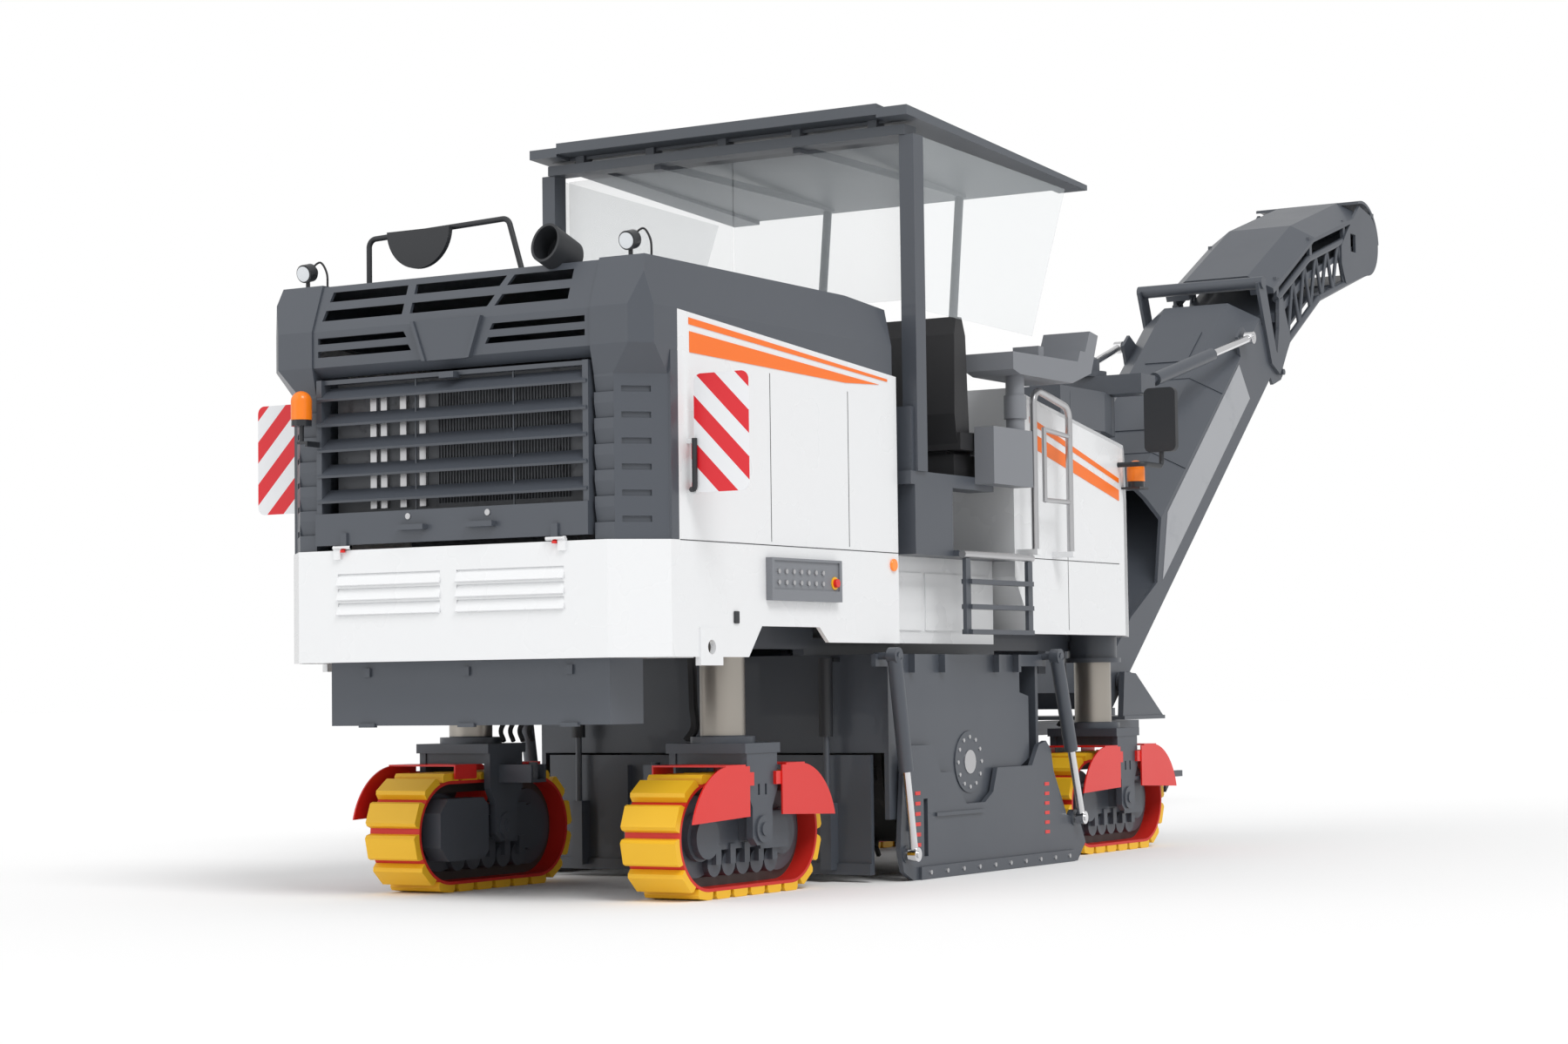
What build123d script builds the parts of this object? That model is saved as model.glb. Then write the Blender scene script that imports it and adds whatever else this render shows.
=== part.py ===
from build123d import *
from math import cos, degrees, pi, radians, sin
import os

# Cold planer milling machine on four tracks, with a folding discharge conveyor at its front.
# Millimetres. +Z is up, +Y is the way it drives, +X is its right side, and the ground is z = 0.
# Lengths along the machine run from the rear face of the body. save() moves every piece by ORIGIN_Y,
# so that the origin lies on the ground under the middle of the whole machine.

# ---------------------------------------------------------------- driving dimensions
HALF_WIDTH = 1049  # body, to its outer skin
SKIN = 20  # thickness of the body panels
CORNER = 197  # chamfer of the lower body's rear corners
BELT_LOW, BELT_HIGH = 1077, 1582  # bottom and top of the lower rear body
BODY_FRONT = 2190  # front end of the rear body and its side panels
HOOD_TOP = 2806
HOOD_EAVE = HOOD_TOP - 386  # the hood's lower edge over the rear door
HOOD_CREASE = HOOD_TOP - 221  # where the hood's rear and side faces start to lean in
HOOD_FRONT = BODY_FRONT - 40
SEAM_REAR = HOOD_CREASE - 2  # height of the seam between hood and side panel at its two ends
SEAM_FRONT = SEAM_REAR - 144
DOOR_HALF = 765  # half width of the rear door
CORNER_DEPTH = 262  # how far the corner pillars run forward

TRACK_X, REAR_TRACK_Y, FRONT_TRACK_Y = 720, 1107, 5010
TRACK_LENGTH, TRACK_HEIGHT, TRACK_WIDTH = 1250, 556, 290
SHOE_COUNT = 20
PAD_DEPTH, PLATE_DEPTH, CHAIN_DEPTH = 36, 14, 44  # rubber pad, steel shoe, and the chain under it
CHAIN_HALF = 48
COLUMN_RADIUS, GUIDE_RADIUS = 104, 140
RUNNING = 0.6  # radial play of pins, rods and columns in their bores
SEAT = 0.3  # what is left between two pieces that stand on each other
YOKE_TOP = 690

DRUM_Y, DRUM_Z, DRUM_RADIUS, DRUM_HALF = 2927, 556, 405, 750
PICK_REACH, PICK_ROWS = 488, 16  # radius to the picks' tips, and picks along each half of the drum
HOUSING_REAR, HOUSING_FRONT, HOUSING_TOP = 2110, 3760, 1095
WALL_X = 1000  # inner face of the fixed side walls
WALL = 25
PLATE_X, PLATE = 1036, 25  # inner face and thickness of the sliding side plates

FLOOR_Z = 1610  # operator's platform
PLATFORM_REAR, PLATFORM_FRONT = BODY_FRONT + SEAT, 3420
CANOPY_OVERHANG = 81  # how far the canopy and the platform's steps stand out beyond the body
ROOF_REAR, ROOF_FRONT, ROOF_HALF = 2190, 4200, HALF_WIDTH + CANOPY_OVERHANG
ROOF_REAR_Z, ROOF_FRONT_Z = 3790, 3660
POST_X, POST_Y = ROOF_HALF - 55, ROOF_REAR + 140

SLEW_Y = FRONT_TRACK_Y + 1540  # slewing axis of the conveyor
FOOT = (SLEW_Y - 700, 750)  # lower rear corner of the conveyor, y and z
SLOPE = 40.4  # degrees, of the conveyor's lower section
CONVEYOR_HALF, UPPER_HALF, COVER_HALF = 420, 395, 230  # half widths of its two sections and of their covers
WALL_RISE, COVER_RISE = 400, 540  # height of its side walls and of its cover, square to the lower edge
LUFF_PIN = (SLEW_Y - 550, 950)
FOLD_PIN = (SLEW_Y + 2100, 3030)
LUFF_LOWER, LUFF_UPPER = (SLEW_Y + 90, 2800), (SLEW_Y + 1450, 3200)
LUFF_X = (335, 472)  # x of the luffing cylinders' lower and upper eyes

BEACON_RADIUS, BEACON_Y = 48, -62
HEAD_END = FOLD_PIN[0] + 2000  # foremost point of the conveyor's head
ORIGIN_Y = (BEACON_Y - BEACON_RADIUS + HEAD_END) / 2

SIDES = (("right", 1), ("left", -1))


# ---------------------------------------------------------------- helpers
def slab(x, y, z, mode=Mode.ADD):
    """Adds a box between three pairs of coordinates to the part that is being built."""
    with Locations(((x[0] + x[1]) / 2, (y[0] + y[1]) / 2, (z[0] + z[1]) / 2)):
        Box(abs(x[1] - x[0]), abs(y[1] - y[0]), abs(z[1] - z[0]), mode=mode)


def mirrored_slab(x, y, z, mode=Mode.ADD):
    """Adds the same box on the right and on the left."""
    for _, side in SIDES:
        slab((side * x[0], side * x[1]), y, z, mode)


def outline_on(plane, outline, amount, mode):
    """Extrudes a closed outline from a plane."""
    with BuildSketch(plane) as profile:
        with BuildLine():
            Polyline(*outline, close=True)
        make_face()
    extrude(profile.sketch, amount=amount, mode=mode)


def side_plate(outline, x, mode=Mode.ADD):
    """Adds a plate with a side-view outline of (y, z) points, between two x values."""
    outline_on(Plane.YZ.offset(min(x)), outline, max(x) - min(x), mode)


def mirrored_plate(outline, x, mode=Mode.ADD):
    """Adds the same side-view plate on the right and on the left."""
    for _, side in SIDES:
        side_plate(outline, (side * x[0], side * x[1]), mode)


def rear_plate(outline, y, mode=Mode.ADD):
    """Adds a plate with a rear-view outline of (x, z) points, between two y values."""
    plane = Plane(origin=(0, max(y), 0), x_dir=(1, 0, 0), z_dir=(0, -1, 0))
    outline_on(plane, outline, max(y) - min(y), mode)


def plan_plate(outline, z, mode=Mode.ADD):
    """Adds a plate with a plan outline of (x, y) points, between two z values."""
    outline_on(Plane.XY.offset(min(z)), outline, max(z) - min(z), mode)


def bar(start, end, radius, mode=Mode.ADD):
    """Adds a round bar between two points."""
    axis = Vector(*end) - Vector(*start)
    with BuildSketch(Plane(origin=start, z_dir=axis)) as section:
        Circle(radius)
    extrude(section.sketch, amount=axis.length, mode=mode)


def disc(x, y, z, radius, mode=Mode.ADD):
    """Adds a disc about a crosswise axis, between two x values."""
    bar((x[0], y, z), (x[1], y, z), radius, mode)


def tube(points, radius, bend):
    """Adds a bent round tube along points, its corners rounded to a bend radius."""
    with BuildLine() as route:
        FilletPolyline(*points, radius=bend)
    with BuildSketch(Plane(origin=route.line @ 0, z_dir=route.line % 0)) as section:
        Circle(radius)
    sweep(section.sketch, path=route.line, transition=Transition.ROUND)


def dome(foot, radius, height):
    """Adds a lamp's dome: a drum with a rounded top, standing on a point."""
    x, y, z = foot
    with BuildSketch(Plane(origin=foot, x_dir=(1, 0, 0), z_dir=(0, -1, 0))) as half:
        with BuildLine():
            Line((0, 0), (radius, 0))
            Line((radius, 0), (radius, height - radius))
            CenterArc((0, height - radius), radius, 0, 90)
            Line((0, height), (0, 0))
        make_face()
    revolve(half.sketch, axis=Axis((x, y, z), (0, 0, 1)))


def save(piece, name):
    """Moves a finished piece to the machine's origin, labels it and writes it."""
    part = piece.part.moved(Location((0, -ORIGIN_Y, 0)))
    part.label = name
    export_step(part, f"parts/{name}.step")


os.makedirs("parts", exist_ok=True)


# ---------------------------------------------------------------- chassis
LEGS = (  # name, x side, y of the column, bottom of its guide
    ("rear_right", 1, REAR_TRACK_Y, 1160),
    ("rear_left", -1, REAR_TRACK_Y, 1160),
    ("front_right", 1, FRONT_TRACK_Y, 1060),
    ("front_left", -1, FRONT_TRACK_Y, 1060),
)
BEAM_X = (560, 620)  # the two lengthwise beams
BEAM_Z = (1125, 1290)
MAST_REAR = FRONT_TRACK_Y - 265
ARM_HALF, ARM_TOP = 250, 715  # arm under the conveyor's foot
SADDLE_TOP = 1010  # what the mast stands on

with BuildPart() as frame:
    mirrored_slab(BEAM_X, (230, 2090), BEAM_Z)
    mirrored_slab(BEAM_X, (3800, FRONT_TRACK_Y + 208.6), BEAM_Z)
    mirrored_slab(BEAM_X, (2000, 4000), (HOUSING_TOP + SEAT, 1180))
    for y in (230, 1700, 3800):
        slab((-BEAM_X[0], BEAM_X[0]), (y, y + 90), BEAM_Z)
    for _, side, y, bottom in LEGS:
        bar((side * TRACK_X, y, bottom), (side * TRACK_X, y, 1960), GUIDE_RADIUS)
        bar((side * TRACK_X, y, bottom), (side * TRACK_X, y, bottom + 25), GUIDE_RADIUS + 22)
        slab((side * 600, side * TRACK_X), (y - 110, y + 110), (1180, 1900))
    for _, side, y, bottom in LEGS:
        bar((side * TRACK_X, y, 1050), (side * TRACK_X, y, 1900), COLUMN_RADIUS + RUNNING, Mode.SUBTRACT)
    # arm under the conveyor's foot, which carries the lower slewing pin
    slab((-ARM_HALF, ARM_HALF), (MAST_REAR - 445, SLEW_Y + 90), (ARM_TOP - 70, ARM_TOP))
    mirrored_slab((ARM_HALF - 50, ARM_HALF), (MAST_REAR - 445, MAST_REAR - 5), (ARM_TOP, BEAM_Z[0]))
    slab((-ARM_HALF, ARM_HALF), (MAST_REAR - 95, MAST_REAR - 5), (ARM_TOP, SADDLE_TOP))
    slab((-ARM_HALF, ARM_HALF), (MAST_REAR - 5, MAST_REAR + 250), (SADDLE_TOP - 20, SADDLE_TOP))
    mirrored_slab((ARM_HALF, BEAM_X[0]), (MAST_REAR - 95, MAST_REAR - 5), (SADDLE_TOP - 10, BEAM_Z[1]))
    bar((0, SLEW_Y, ARM_TOP), (0, SLEW_Y, ARM_TOP + 75), 45)

DOOR_HINGE = (-9, BELT_HIGH + 12)  # y and z of the rear door's hinges
NOTCH = (  # the lower edge steps up behind the rear leg and again ahead of it
    (816, BELT_LOW - 27), (816, BELT_LOW), (930, BELT_LOW + 139), (1435, BELT_LOW + 139), (1520, BELT_LOW + 69),
    (2400, BELT_LOW + 69), (2400, BELT_LOW - 27),
)
LOUVRE_X, LOUVRE_Z = (-335, 335), (BELT_LOW + 245, BELT_LOW + 311, BELT_LOW + 377)
with BuildPart() as rear_body:
    with BuildSketch(Plane.XY.offset(BELT_LOW)):
        for inset, mode in ((0, Mode.ADD), (SKIN, Mode.SUBTRACT)):
            half = HALF_WIDTH - inset
            flat = HALF_WIDTH - CORNER - inset * 0.4
            front = BODY_FRONT + inset
            with BuildLine():
                Polyline(
                    (-flat, inset), (flat, inset), (half, CORNER + inset * 0.4), (half, front),
                    (-half, front), (-half, CORNER + inset * 0.4), close=True,
                )
            make_face(mode=mode)
    extrude(amount=BELT_HIGH - BELT_LOW)
    slab((-830, 830), (10, 700), (BELT_LOW, BELT_LOW + 15))
    slab((-620, 620), (230, 700), (BELT_LOW, BEAM_Z[0] - SEAT))
    side_plate(NOTCH, (-HALF_WIDTH - 150, HALF_WIDTH + 150), Mode.SUBTRACT)
    for _, side in SIDES:
        disc((side * 600.4, side * 640), *DOOR_HINGE, 9)
        slab((side * 600.4, side * 640), (-12, 5), (DOOR_HINGE[1] - 54, DOOR_HINGE[1]))
    # lashing eyes through a doubled patch of the side
    mirrored_slab((HALF_WIDTH - SKIN, HALF_WIDTH + 8), (410, 590), (1040, 1205))
    for _, side in SIDES:
        disc((side * (HALF_WIDTH - 60), side * (HALF_WIDTH + 20)), 500, 1120, 32, Mode.SUBTRACT)
    for x in LOUVRE_X:
        for z in LOUVRE_Z:
            slab((x - 290, x + 290), (-30, 60), (z - 21, z + 21), Mode.SUBTRACT)
    for x in LOUVRE_X:
        for z in LOUVRE_Z:
            blade = ((-14, z - 30), (-6, z - 34), (20, z + 24), (12, z + 26))
            side_plate(blade, (x - 291, x + 291))

CAP_X = DOOR_HALF + 5  # inner edge of the hood's corner caps
CAP_FOOT = HOOD_EAVE - 125  # where the caps' leaning undersides meet the ribbed corner panels
LEAN = 45  # how far the hood's sides lean in at the top
PANEL_Y = 30  # rear face of the corner panels
RIB_PITCH = (CAP_FOOT - BELT_HIGH - 41) / 6
CAP_PLAN = (  # x inward of the side and y, at the caps' lower edge
    (HALF_WIDTH - CAP_X, CORNER_DEPTH), (HALF_WIDTH - CAP_X, 0), (80, 0), (0, 80), (0, CORNER_DEPTH),
)
PANEL_PLAN = (  # the same for the corner panels below them
    (HALF_WIDTH - CAP_X, CORNER_DEPTH), (HALF_WIDTH - CAP_X, PANEL_Y), (180, PANEL_Y), (14, 205), (14, CORNER_DEPTH),
)
HOOD_SLOTS = (  # x of the four corners, rear left round to rear right, and two heights from the crease
    ((-730, -270, -270, -720), (47, 97)),
    ((-712, -270, -270, -702), (137, 183)),
    ((-225, 205, 235, -225), (47, 97)),
    ((-225, 250, 280, -225), (137, 183)),
    ((245, 640, 640, 275), (47, 97)),
    ((290, 640, 640, 320), (137, 183)),
    ((-740, -205, -222, -740), (-121, -93)),
    ((-740, -230, -247, -740), (-61, -33)),
    ((205, 740, 740, 222), (-121, -93)),
    ((230, 740, 740, 247), (-61, -33)),
)

with BuildPart() as hood:
    profile = (
        (60, HOOD_EAVE - 45), (0, HOOD_EAVE), (0, HOOD_CREASE), (80, HOOD_TOP), (1780, HOOD_TOP - 8),
        (HOOD_FRONT, HOOD_TOP - 41), (HOOD_FRONT, HOOD_EAVE - 45),
    )
    side_plate(profile, (-HALF_WIDTH, HALF_WIDTH))
    for _, side in SIDES:
        leaning = (
            (side * HALF_WIDTH, HOOD_CREASE), (side * (HALF_WIDTH - LEAN), HOOD_TOP), (side * (HALF_WIDTH - LEAN), HOOD_TOP + 9),
            (side * (HALF_WIDTH + 9), HOOD_TOP + 9), (side * (HALF_WIDTH + 9), HOOD_CREASE),
        )
        rear_plate(leaning, (-9, HOOD_FRONT + 9), Mode.SUBTRACT)
        slab((side * CAP_X, side * (HALF_WIDTH + 9)), (-9, CORNER_DEPTH), (HOOD_EAVE - 50, HOOD_EAVE), Mode.SUBTRACT)
    for _, side in SIDES:
        corner_cut = ((side * (HALF_WIDTH - 89), -9), (side * (HALF_WIDTH + 9), -9), (side * (HALF_WIDTH + 9), 89))
        plan_plate(corner_cut, (HOOD_EAVE - 60, HOOD_TOP + 9), Mode.SUBTRACT)
    hollow = (
        (85, HOOD_EAVE - 50), (25, HOOD_EAVE), (25, HOOD_CREASE - 3), (98, HOOD_TOP - 25), (1775, HOOD_TOP - 33),
        (HOOD_FRONT - 25, HOOD_TOP - 64), (HOOD_FRONT - 25, HOOD_EAVE - 50),
    )
    side_plate(hollow, (-HALF_WIDTH + 70, HALF_WIDTH - 70), Mode.SUBTRACT)
    below_seam = (
        (CORNER_DEPTH, HOOD_EAVE - 50), (CORNER_DEPTH, SEAM_REAR), (BODY_FRONT, SEAM_FRONT), (BODY_FRONT, HOOD_EAVE - 50),
    )
    mirrored_plate(below_seam, (HALF_WIDTH - 71, HALF_WIDTH + 1), Mode.SUBTRACT)
    # the middle of the rear lies a step below the corner caps
    step = (
        (-9, HOOD_EAVE - 60), (68, HOOD_EAVE - 46), (8, HOOD_EAVE - 2), (8, HOOD_CREASE - 2), (86, HOOD_TOP - 8),
        (CORNER_DEPTH, HOOD_TOP - 8), (CORNER_DEPTH, HOOD_TOP + 9), (-9, HOOD_TOP + 9),
    )
    side_plate(step, (-CAP_X, CAP_X), Mode.SUBTRACT)
    for xs, rises in HOOD_SLOTS:
        low, high = HOOD_CREASE + rises[0], HOOD_CREASE + rises[1]
        corners = ((xs[0], low), (xs[1], low), (xs[2], high), (xs[3], high))
        rear_plate(corners, (-9, 125), Mode.SUBTRACT)
    # raised bare badge plate between two ridges
    low, high = HOOD_EAVE - 12, HOOD_CREASE + 5
    rear_plate(((-118, low), (118, low), (185, high), (-185, high)), (-4, 20))
    for _, side in SIDES:
        ridge = ((side * 112, low), (side * 130, low), (side * 196, high), (side * 178, high))
        rear_plate(ridge, (-14, 10))
    # leaning undersides of the caps, and the ribbed corner panels below them
    for _, side in SIDES:
        with BuildSketch(Plane.XY.offset(HOOD_EAVE)) as cap_edge:
            with BuildLine():
                Polyline(*[(side * (HALF_WIDTH - inward), y) for inward, y in CAP_PLAN], close=True)
            make_face()
        with BuildSketch(Plane.XY.offset(CAP_FOOT)) as panel_edge:
            with BuildLine():
                Polyline(*[(side * (HALF_WIDTH - inward), y) for inward, y in PANEL_PLAN], close=True)
            make_face()
        loft(sections=[cap_edge.sketch.face(), panel_edge.sketch.face()], ruled=True)
        extrude(panel_edge.sketch, amount=BELT_HIGH + SEAT - CAP_FOOT)
        slab(
            (side * (HALF_WIDTH - 14), side * HALF_WIDTH), (205, CORNER_DEPTH), (BELT_HIGH + SEAT, HOOD_EAVE - 20)
        )
        slab(
            (side * (CAP_X + 20), side * (HALF_WIDTH - 200)), (PANEL_Y + 25, CORNER_DEPTH + 1), (BELT_HIGH + 40, HOOD_EAVE - 40),
            Mode.SUBTRACT,
        )
        for row in range(6):
            z = BELT_HIGH + 75 + row * RIB_PITCH
            saw = ((PANEL_Y - 5, z), (PANEL_Y + 14, z), (PANEL_Y - 5, z + RIB_PITCH * 0.8))
            side_plate(saw, (side * (CAP_X - 1), side * (HALF_WIDTH - 178)), Mode.SUBTRACT)
            lean_angle = side * degrees(0.8119)
            with Locations(Location((side * (HALF_WIDTH - 110), 103, z + 12), (0, 0, lean_angle))):
                Box(130, 24, 26, mode=Mode.SUBTRACT)
    slab((-HALF_WIDTH + SKIN, HALF_WIDTH - SKIN), (HOOD_FRONT - 25, HOOD_FRONT), (1640, HOOD_EAVE))

PANEL_BOX = ((967, 1589), (1333, 1526))  # y and z of the control boxes on the sides
with BuildPart() as side_panels:
    panel = (
        (CORNER_DEPTH + SEAT, BELT_HIGH + SEAT), (BODY_FRONT, BELT_HIGH + SEAT), (BODY_FRONT, SEAM_FRONT - SEAT),
        (CORNER_DEPTH + SEAT, SEAM_REAR - SEAT),
    )
    mirrored_plate(panel, (HALF_WIDTH - SKIN, HALF_WIDTH))
    # brackets of the warning boards' pivots
    for _, side in SIDES:
        for z in (1780, 2000.3):
            slab((side * HALF_WIDTH, side * (HALF_WIDTH + 45)), (329, 361), (z, z + 19.7))
    # white wall with two doors below the platform
    mirrored_slab((905, 930), (BODY_FRONT + 5, 3400), (1150, FLOOR_Z - 30 - SEAT))
    for y in ((2250, 2620), (2660, 3340)):
        mirrored_slab((930, 938), y, (1215, 1500))

BLADE_PITCH = (HOOD_EAVE - BELT_HIGH - 258) / 5
with BuildPart() as rear_door:
    for _, side in SIDES:
        disc((side * 565, side * 600), *DOOR_HINGE, 9)
        slab((side * 565, side * 600), (-12, 5), (DOOR_HINGE[1], 1660))
    slab((-DOOR_HALF + 12, DOOR_HALF - 12), (0, 40), (BELT_HIGH + 24, 1750))
    for _, side in SIDES:
        slab((side * (DOOR_HALF - 42), side * (DOOR_HALF - 12)), (10, 75), (BELT_HIGH + 24, HOOD_EAVE - 60))
    slab((-DOOR_HALF + 12, DOOR_HALF - 12), (30, 75), (HOOD_EAVE - 80, HOOD_EAVE - 60))
    for row in range(5):
        z = BELT_HIGH + 226 + row * BLADE_PITCH
        blade = ((0, z), (5, z - 10), (12, z - 10), (72, z + 46), (66, z + 54))
        side_plate(blade, (-DOOR_HALF + 20, DOOR_HALF - 20))
    for x in (-210, 330):
        slab((x - 3, x + 3), (44, 50), (1745, HOOD_EAVE - 75))
    for x in (-190, 190):
        slab((x - 75, x + 75), (-34, -18), (1660, 1684))
        for end in (-1, 1):
            slab((x + end * 55, x + end * 75), (-20, 1), (1662, 1682))
    slab((-40, 40), (-6, 50), (HOOD_EAVE - 92, HOOD_EAVE - 66))

with BuildPart() as rear_beacon:
    dome((-780, BEACON_Y, 2178), BEACON_RADIUS, 132)
    bar((-780, BEACON_Y, 2150), (-780, BEACON_Y, 2178), BEACON_RADIUS - 2)
    bar((-780, BEACON_Y, 2075), (-780, BEACON_Y, 2150), 11)
    slab((-795, -735), (BEACON_Y - 15, BEACON_Y + 15), (2068, 2080))
    slab((-747, -735), (BEACON_Y - 15, 9.7), (2055, 2080))

with BuildPart() as engine:
    slab((-460, 460), (330, 1640), (1300, HOOD_EAVE - 70))
    slab((-700, 700), (100, 200), (1640, HOOD_EAVE - 70))
    slab((-350, 350), (190, 340), (1700, HOOD_EAVE - 120))
    for y in (500, 1400):
        slab((-600, 600), (y, y + 80), (BEAM_Z[1] + SEAT, 1330))

with BuildPart() as rear_box:
    slab((-770, 770), (130, 385), (790, BELT_LOW - SEAT))
    for x in (-560, 0, 560):
        slab((x - 45, x + 45), (118, 140), (782, 800))
        slab((x - 20, x + 20), (118, 140), (1010, 1050))

EXHAUST_X = 520
with BuildPart() as exhaust:
    with BuildSketch(Plane(origin=(EXHAUST_X, 210, HOOD_TOP + 24), x_dir=(1, 0, 0), z_dir=(0, -1, 0.32))) as outlet:
        Ellipse(74, 92)
    extrude(outlet.sketch, amount=190)
    with BuildSketch(Plane(origin=(EXHAUST_X, 20, HOOD_TOP + 85), x_dir=(1, 0, 0), z_dir=(0, 1, -0.32))) as mouth:
        Ellipse(62, 80)
    extrude(mouth.sketch, amount=120, mode=Mode.SUBTRACT)
    under_slope = (
        (7.6, HOOD_CREASE - 80), (7.6, HOOD_CREASE - 2), (85.6, HOOD_TOP - 7.6), (500, HOOD_TOP - 7.6), (500, HOOD_EAVE), (7.6, HOOD_EAVE),
    )
    side_plate(under_slope, (EXHAUST_X - 120, EXHAUST_X + 120), Mode.SUBTRACT)

PLATE_JACKS = (  # name, upper eye and lower eye of each side-plate cylinder
    ("rear", (2035, 1085), (2205, 130)),
    ("front", (3775, 1085), (4045, 230)),
)
JACK_X = PLATE_X + PLATE + 45


def jack_points(upper, lower, share):
    """The point at a share of the way down a cylinder's line."""
    return (upper[0] + (lower[0] - upper[0]) * share, upper[1] + (lower[1] - upper[1]) * share)


# ---------------------------------------------------------------- front body and drum housing
NOSE = FRONT_TRACK_Y + 240  # front end of the front body
FRONT_OUTLINE = (
    (3425, 1500), (3620, 1204), (NOSE, 1204), (NOSE - 45, 1980), (NOSE - 260, 2240), (NOSE - 390, 2270), (3560, 2482),
    (3425, 2482),
)
FRONT_INSIDE = (
    (3450, 1490), (3632, 1190), (NOSE - 25, 1190), (NOSE - 70, 1970), (NOSE - 275, 2220), (NOSE - 395, 2246),
    (3556, 2458), (3450, 2458),
)
CHEEK_X = 240  # half width of the mast
RAIL_Y, RAIL_FOOT = (3465, 3880), 1640  # feet of the handrails
RAIL_X = HALF_WIDTH + 101

with BuildPart() as front_body:
    side_plate(FRONT_OUTLINE, (-HALF_WIDTH, HALF_WIDTH))
    for _, side in SIDES:  # the front corners are cut back, and the top edges bevelled
        corner_cut = (
            (side * (HALF_WIDTH + 11), NOSE - 516), (side * (HALF_WIDTH + 11), NOSE + 50), (side * (HALF_WIDTH - 230), NOSE + 50),
        )
        plan_plate(corner_cut, (1100, 2600), Mode.SUBTRACT)
    top_edges = edges().filter_by(
        lambda e: abs(abs(e.center().X) - HALF_WIDTH) < 1 and e.center().Z > 2300 and e.length > 500
    )
    chamfer(top_edges, length=42)
    side_plate(FRONT_INSIDE, (-HALF_WIDTH + 215, HALF_WIDTH - 215), Mode.SUBTRACT)
    side_inside = (
        (3450, 1490), (3632, 1190), (NOSE - 550, 1190), (NOSE - 550, 2240), (3556, 2430), (3450, 2430),
    )
    mirrored_plate(side_inside, (HALF_WIDTH - 216, HALF_WIDTH - SKIN), Mode.SUBTRACT)
    for _, side in SIDES:
        pocket = (
            (side * (HALF_WIDTH - 216), NOSE - 560), (side * (HALF_WIDTH - SKIN), NOSE - 560), (side * (HALF_WIDTH - SKIN), NOSE - 500),
            (side * (HALF_WIDTH - 188), NOSE - 100), (side * (HALF_WIDTH - 216), NOSE - 85),
        )
        plan_plate(pocket, (1190, 1970), Mode.SUBTRACT)
    slab((-CHEEK_X - 6, CHEEK_X + 6), (NOSE - 550, NOSE + 50), (1190, 2600), Mode.SUBTRACT)
    for y in RAIL_Y:
        mirrored_slab((HALF_WIDTH - 5, RAIL_X + 22), (y - 22, y + 22), (FLOOR_Z, RAIL_FOOT - SEAT))

with BuildPart() as mast:
    # two cheeks on the chassis, and the beam on them that carries the upper slewing pin
    mast_outline = (
        (MAST_REAR, SADDLE_TOP + SEAT), (MAST_REAR + 245, SADDLE_TOP + SEAT), (MAST_REAR + 315, 1980), (SLEW_Y - 650, 2290),
        (SLEW_Y - 350, 2478), (SLEW_Y - 930, 2478), (MAST_REAR, 2290),
    )
    side_plate(mast_outline, (-CHEEK_X, CHEEK_X))
    slab((-CHEEK_X + 45, CHEEK_X - 45), (MAST_REAR - 45, MAST_REAR + 555), (1000, 1800), Mode.SUBTRACT)
    beam = (
        (-250, SLEW_Y - 930), (250, SLEW_Y - 930), (250, SLEW_Y - 320), (150, SLEW_Y), (-150, SLEW_Y), (-250, SLEW_Y - 320),
    )
    plan_plate(beam, (2478, 2720))
    bar((0, SLEW_Y, 2478), (0, SLEW_Y, 2720), 150)
    bar((0, SLEW_Y, 2720), (0, SLEW_Y, 2960), 62)
    mirrored_plate(((SLEW_Y - 800, 2500), (SLEW_Y - 420, 2500), (SLEW_Y - 420, 2690), (SLEW_Y - 800, 2690)), (251, 240))

HOUSING_RIBS = (2330, 2640, 3220, 3440)  # y of the ribs on the fixed side walls
with BuildPart() as drum_housing:
    slab((-WALL_X, WALL_X), (HOUSING_REAR, HOUSING_FRONT), (HOUSING_TOP - 30, HOUSING_TOP))
    slab((-WALL_X, WALL_X), (HOUSING_FRONT - 30, HOUSING_FRONT), (330, HOUSING_TOP - 30))
    slab((-WALL_X, WALL_X), (HOUSING_REAR, HOUSING_REAR + 30), (620, HOUSING_TOP - 30))
    wall_outline = (
        (HOUSING_REAR, 300), (3300, 300), (3500, 520), (3600, 560), (3600, 880), (3500, 900), (3500, HOUSING_TOP - 30),
        (HOUSING_REAR, HOUSING_TOP - 30),
    )
    mirrored_plate(wall_outline, (WALL_X, WALL_X + WALL))
    mirrored_slab((WALL_X, WALL_X + WALL), (HOUSING_REAR, 3500), (HOUSING_TOP - 30, HOUSING_TOP))
    for _, side in SIDES:
        disc((side * 760, side * (PLATE_X - 5)), DRUM_Y, DRUM_Z, 155)
        disc((side * (DRUM_HALF - 160), side * 760), DRUM_Y, DRUM_Z, 70)
        # rails that guide the sliding plate above its upper edge
        for y in HOUSING_RIBS:
            slab(
                (side * (WALL_X + WALL), side * (PLATE_X + PLATE)), (y - 14, y + 14), (HOUSING_TOP - 90, HOUSING_TOP)
            )
    # ears and pins of the side plates' cylinders
    for _, upper, _ in PLATE_JACKS:
        ear = sorted((upper[0], min(max(upper[0], HOUSING_REAR + 20), 3480)))
        mirrored_slab((WALL_X, WALL_X + WALL), (ear[0] - 40, ear[1] + 40), (HOUSING_TOP - 60, HOUSING_TOP))
        for _, side in SIDES:
            disc((side * WALL_X, side * (JACK_X + 32)), *upper, 18 - RUNNING)

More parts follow.
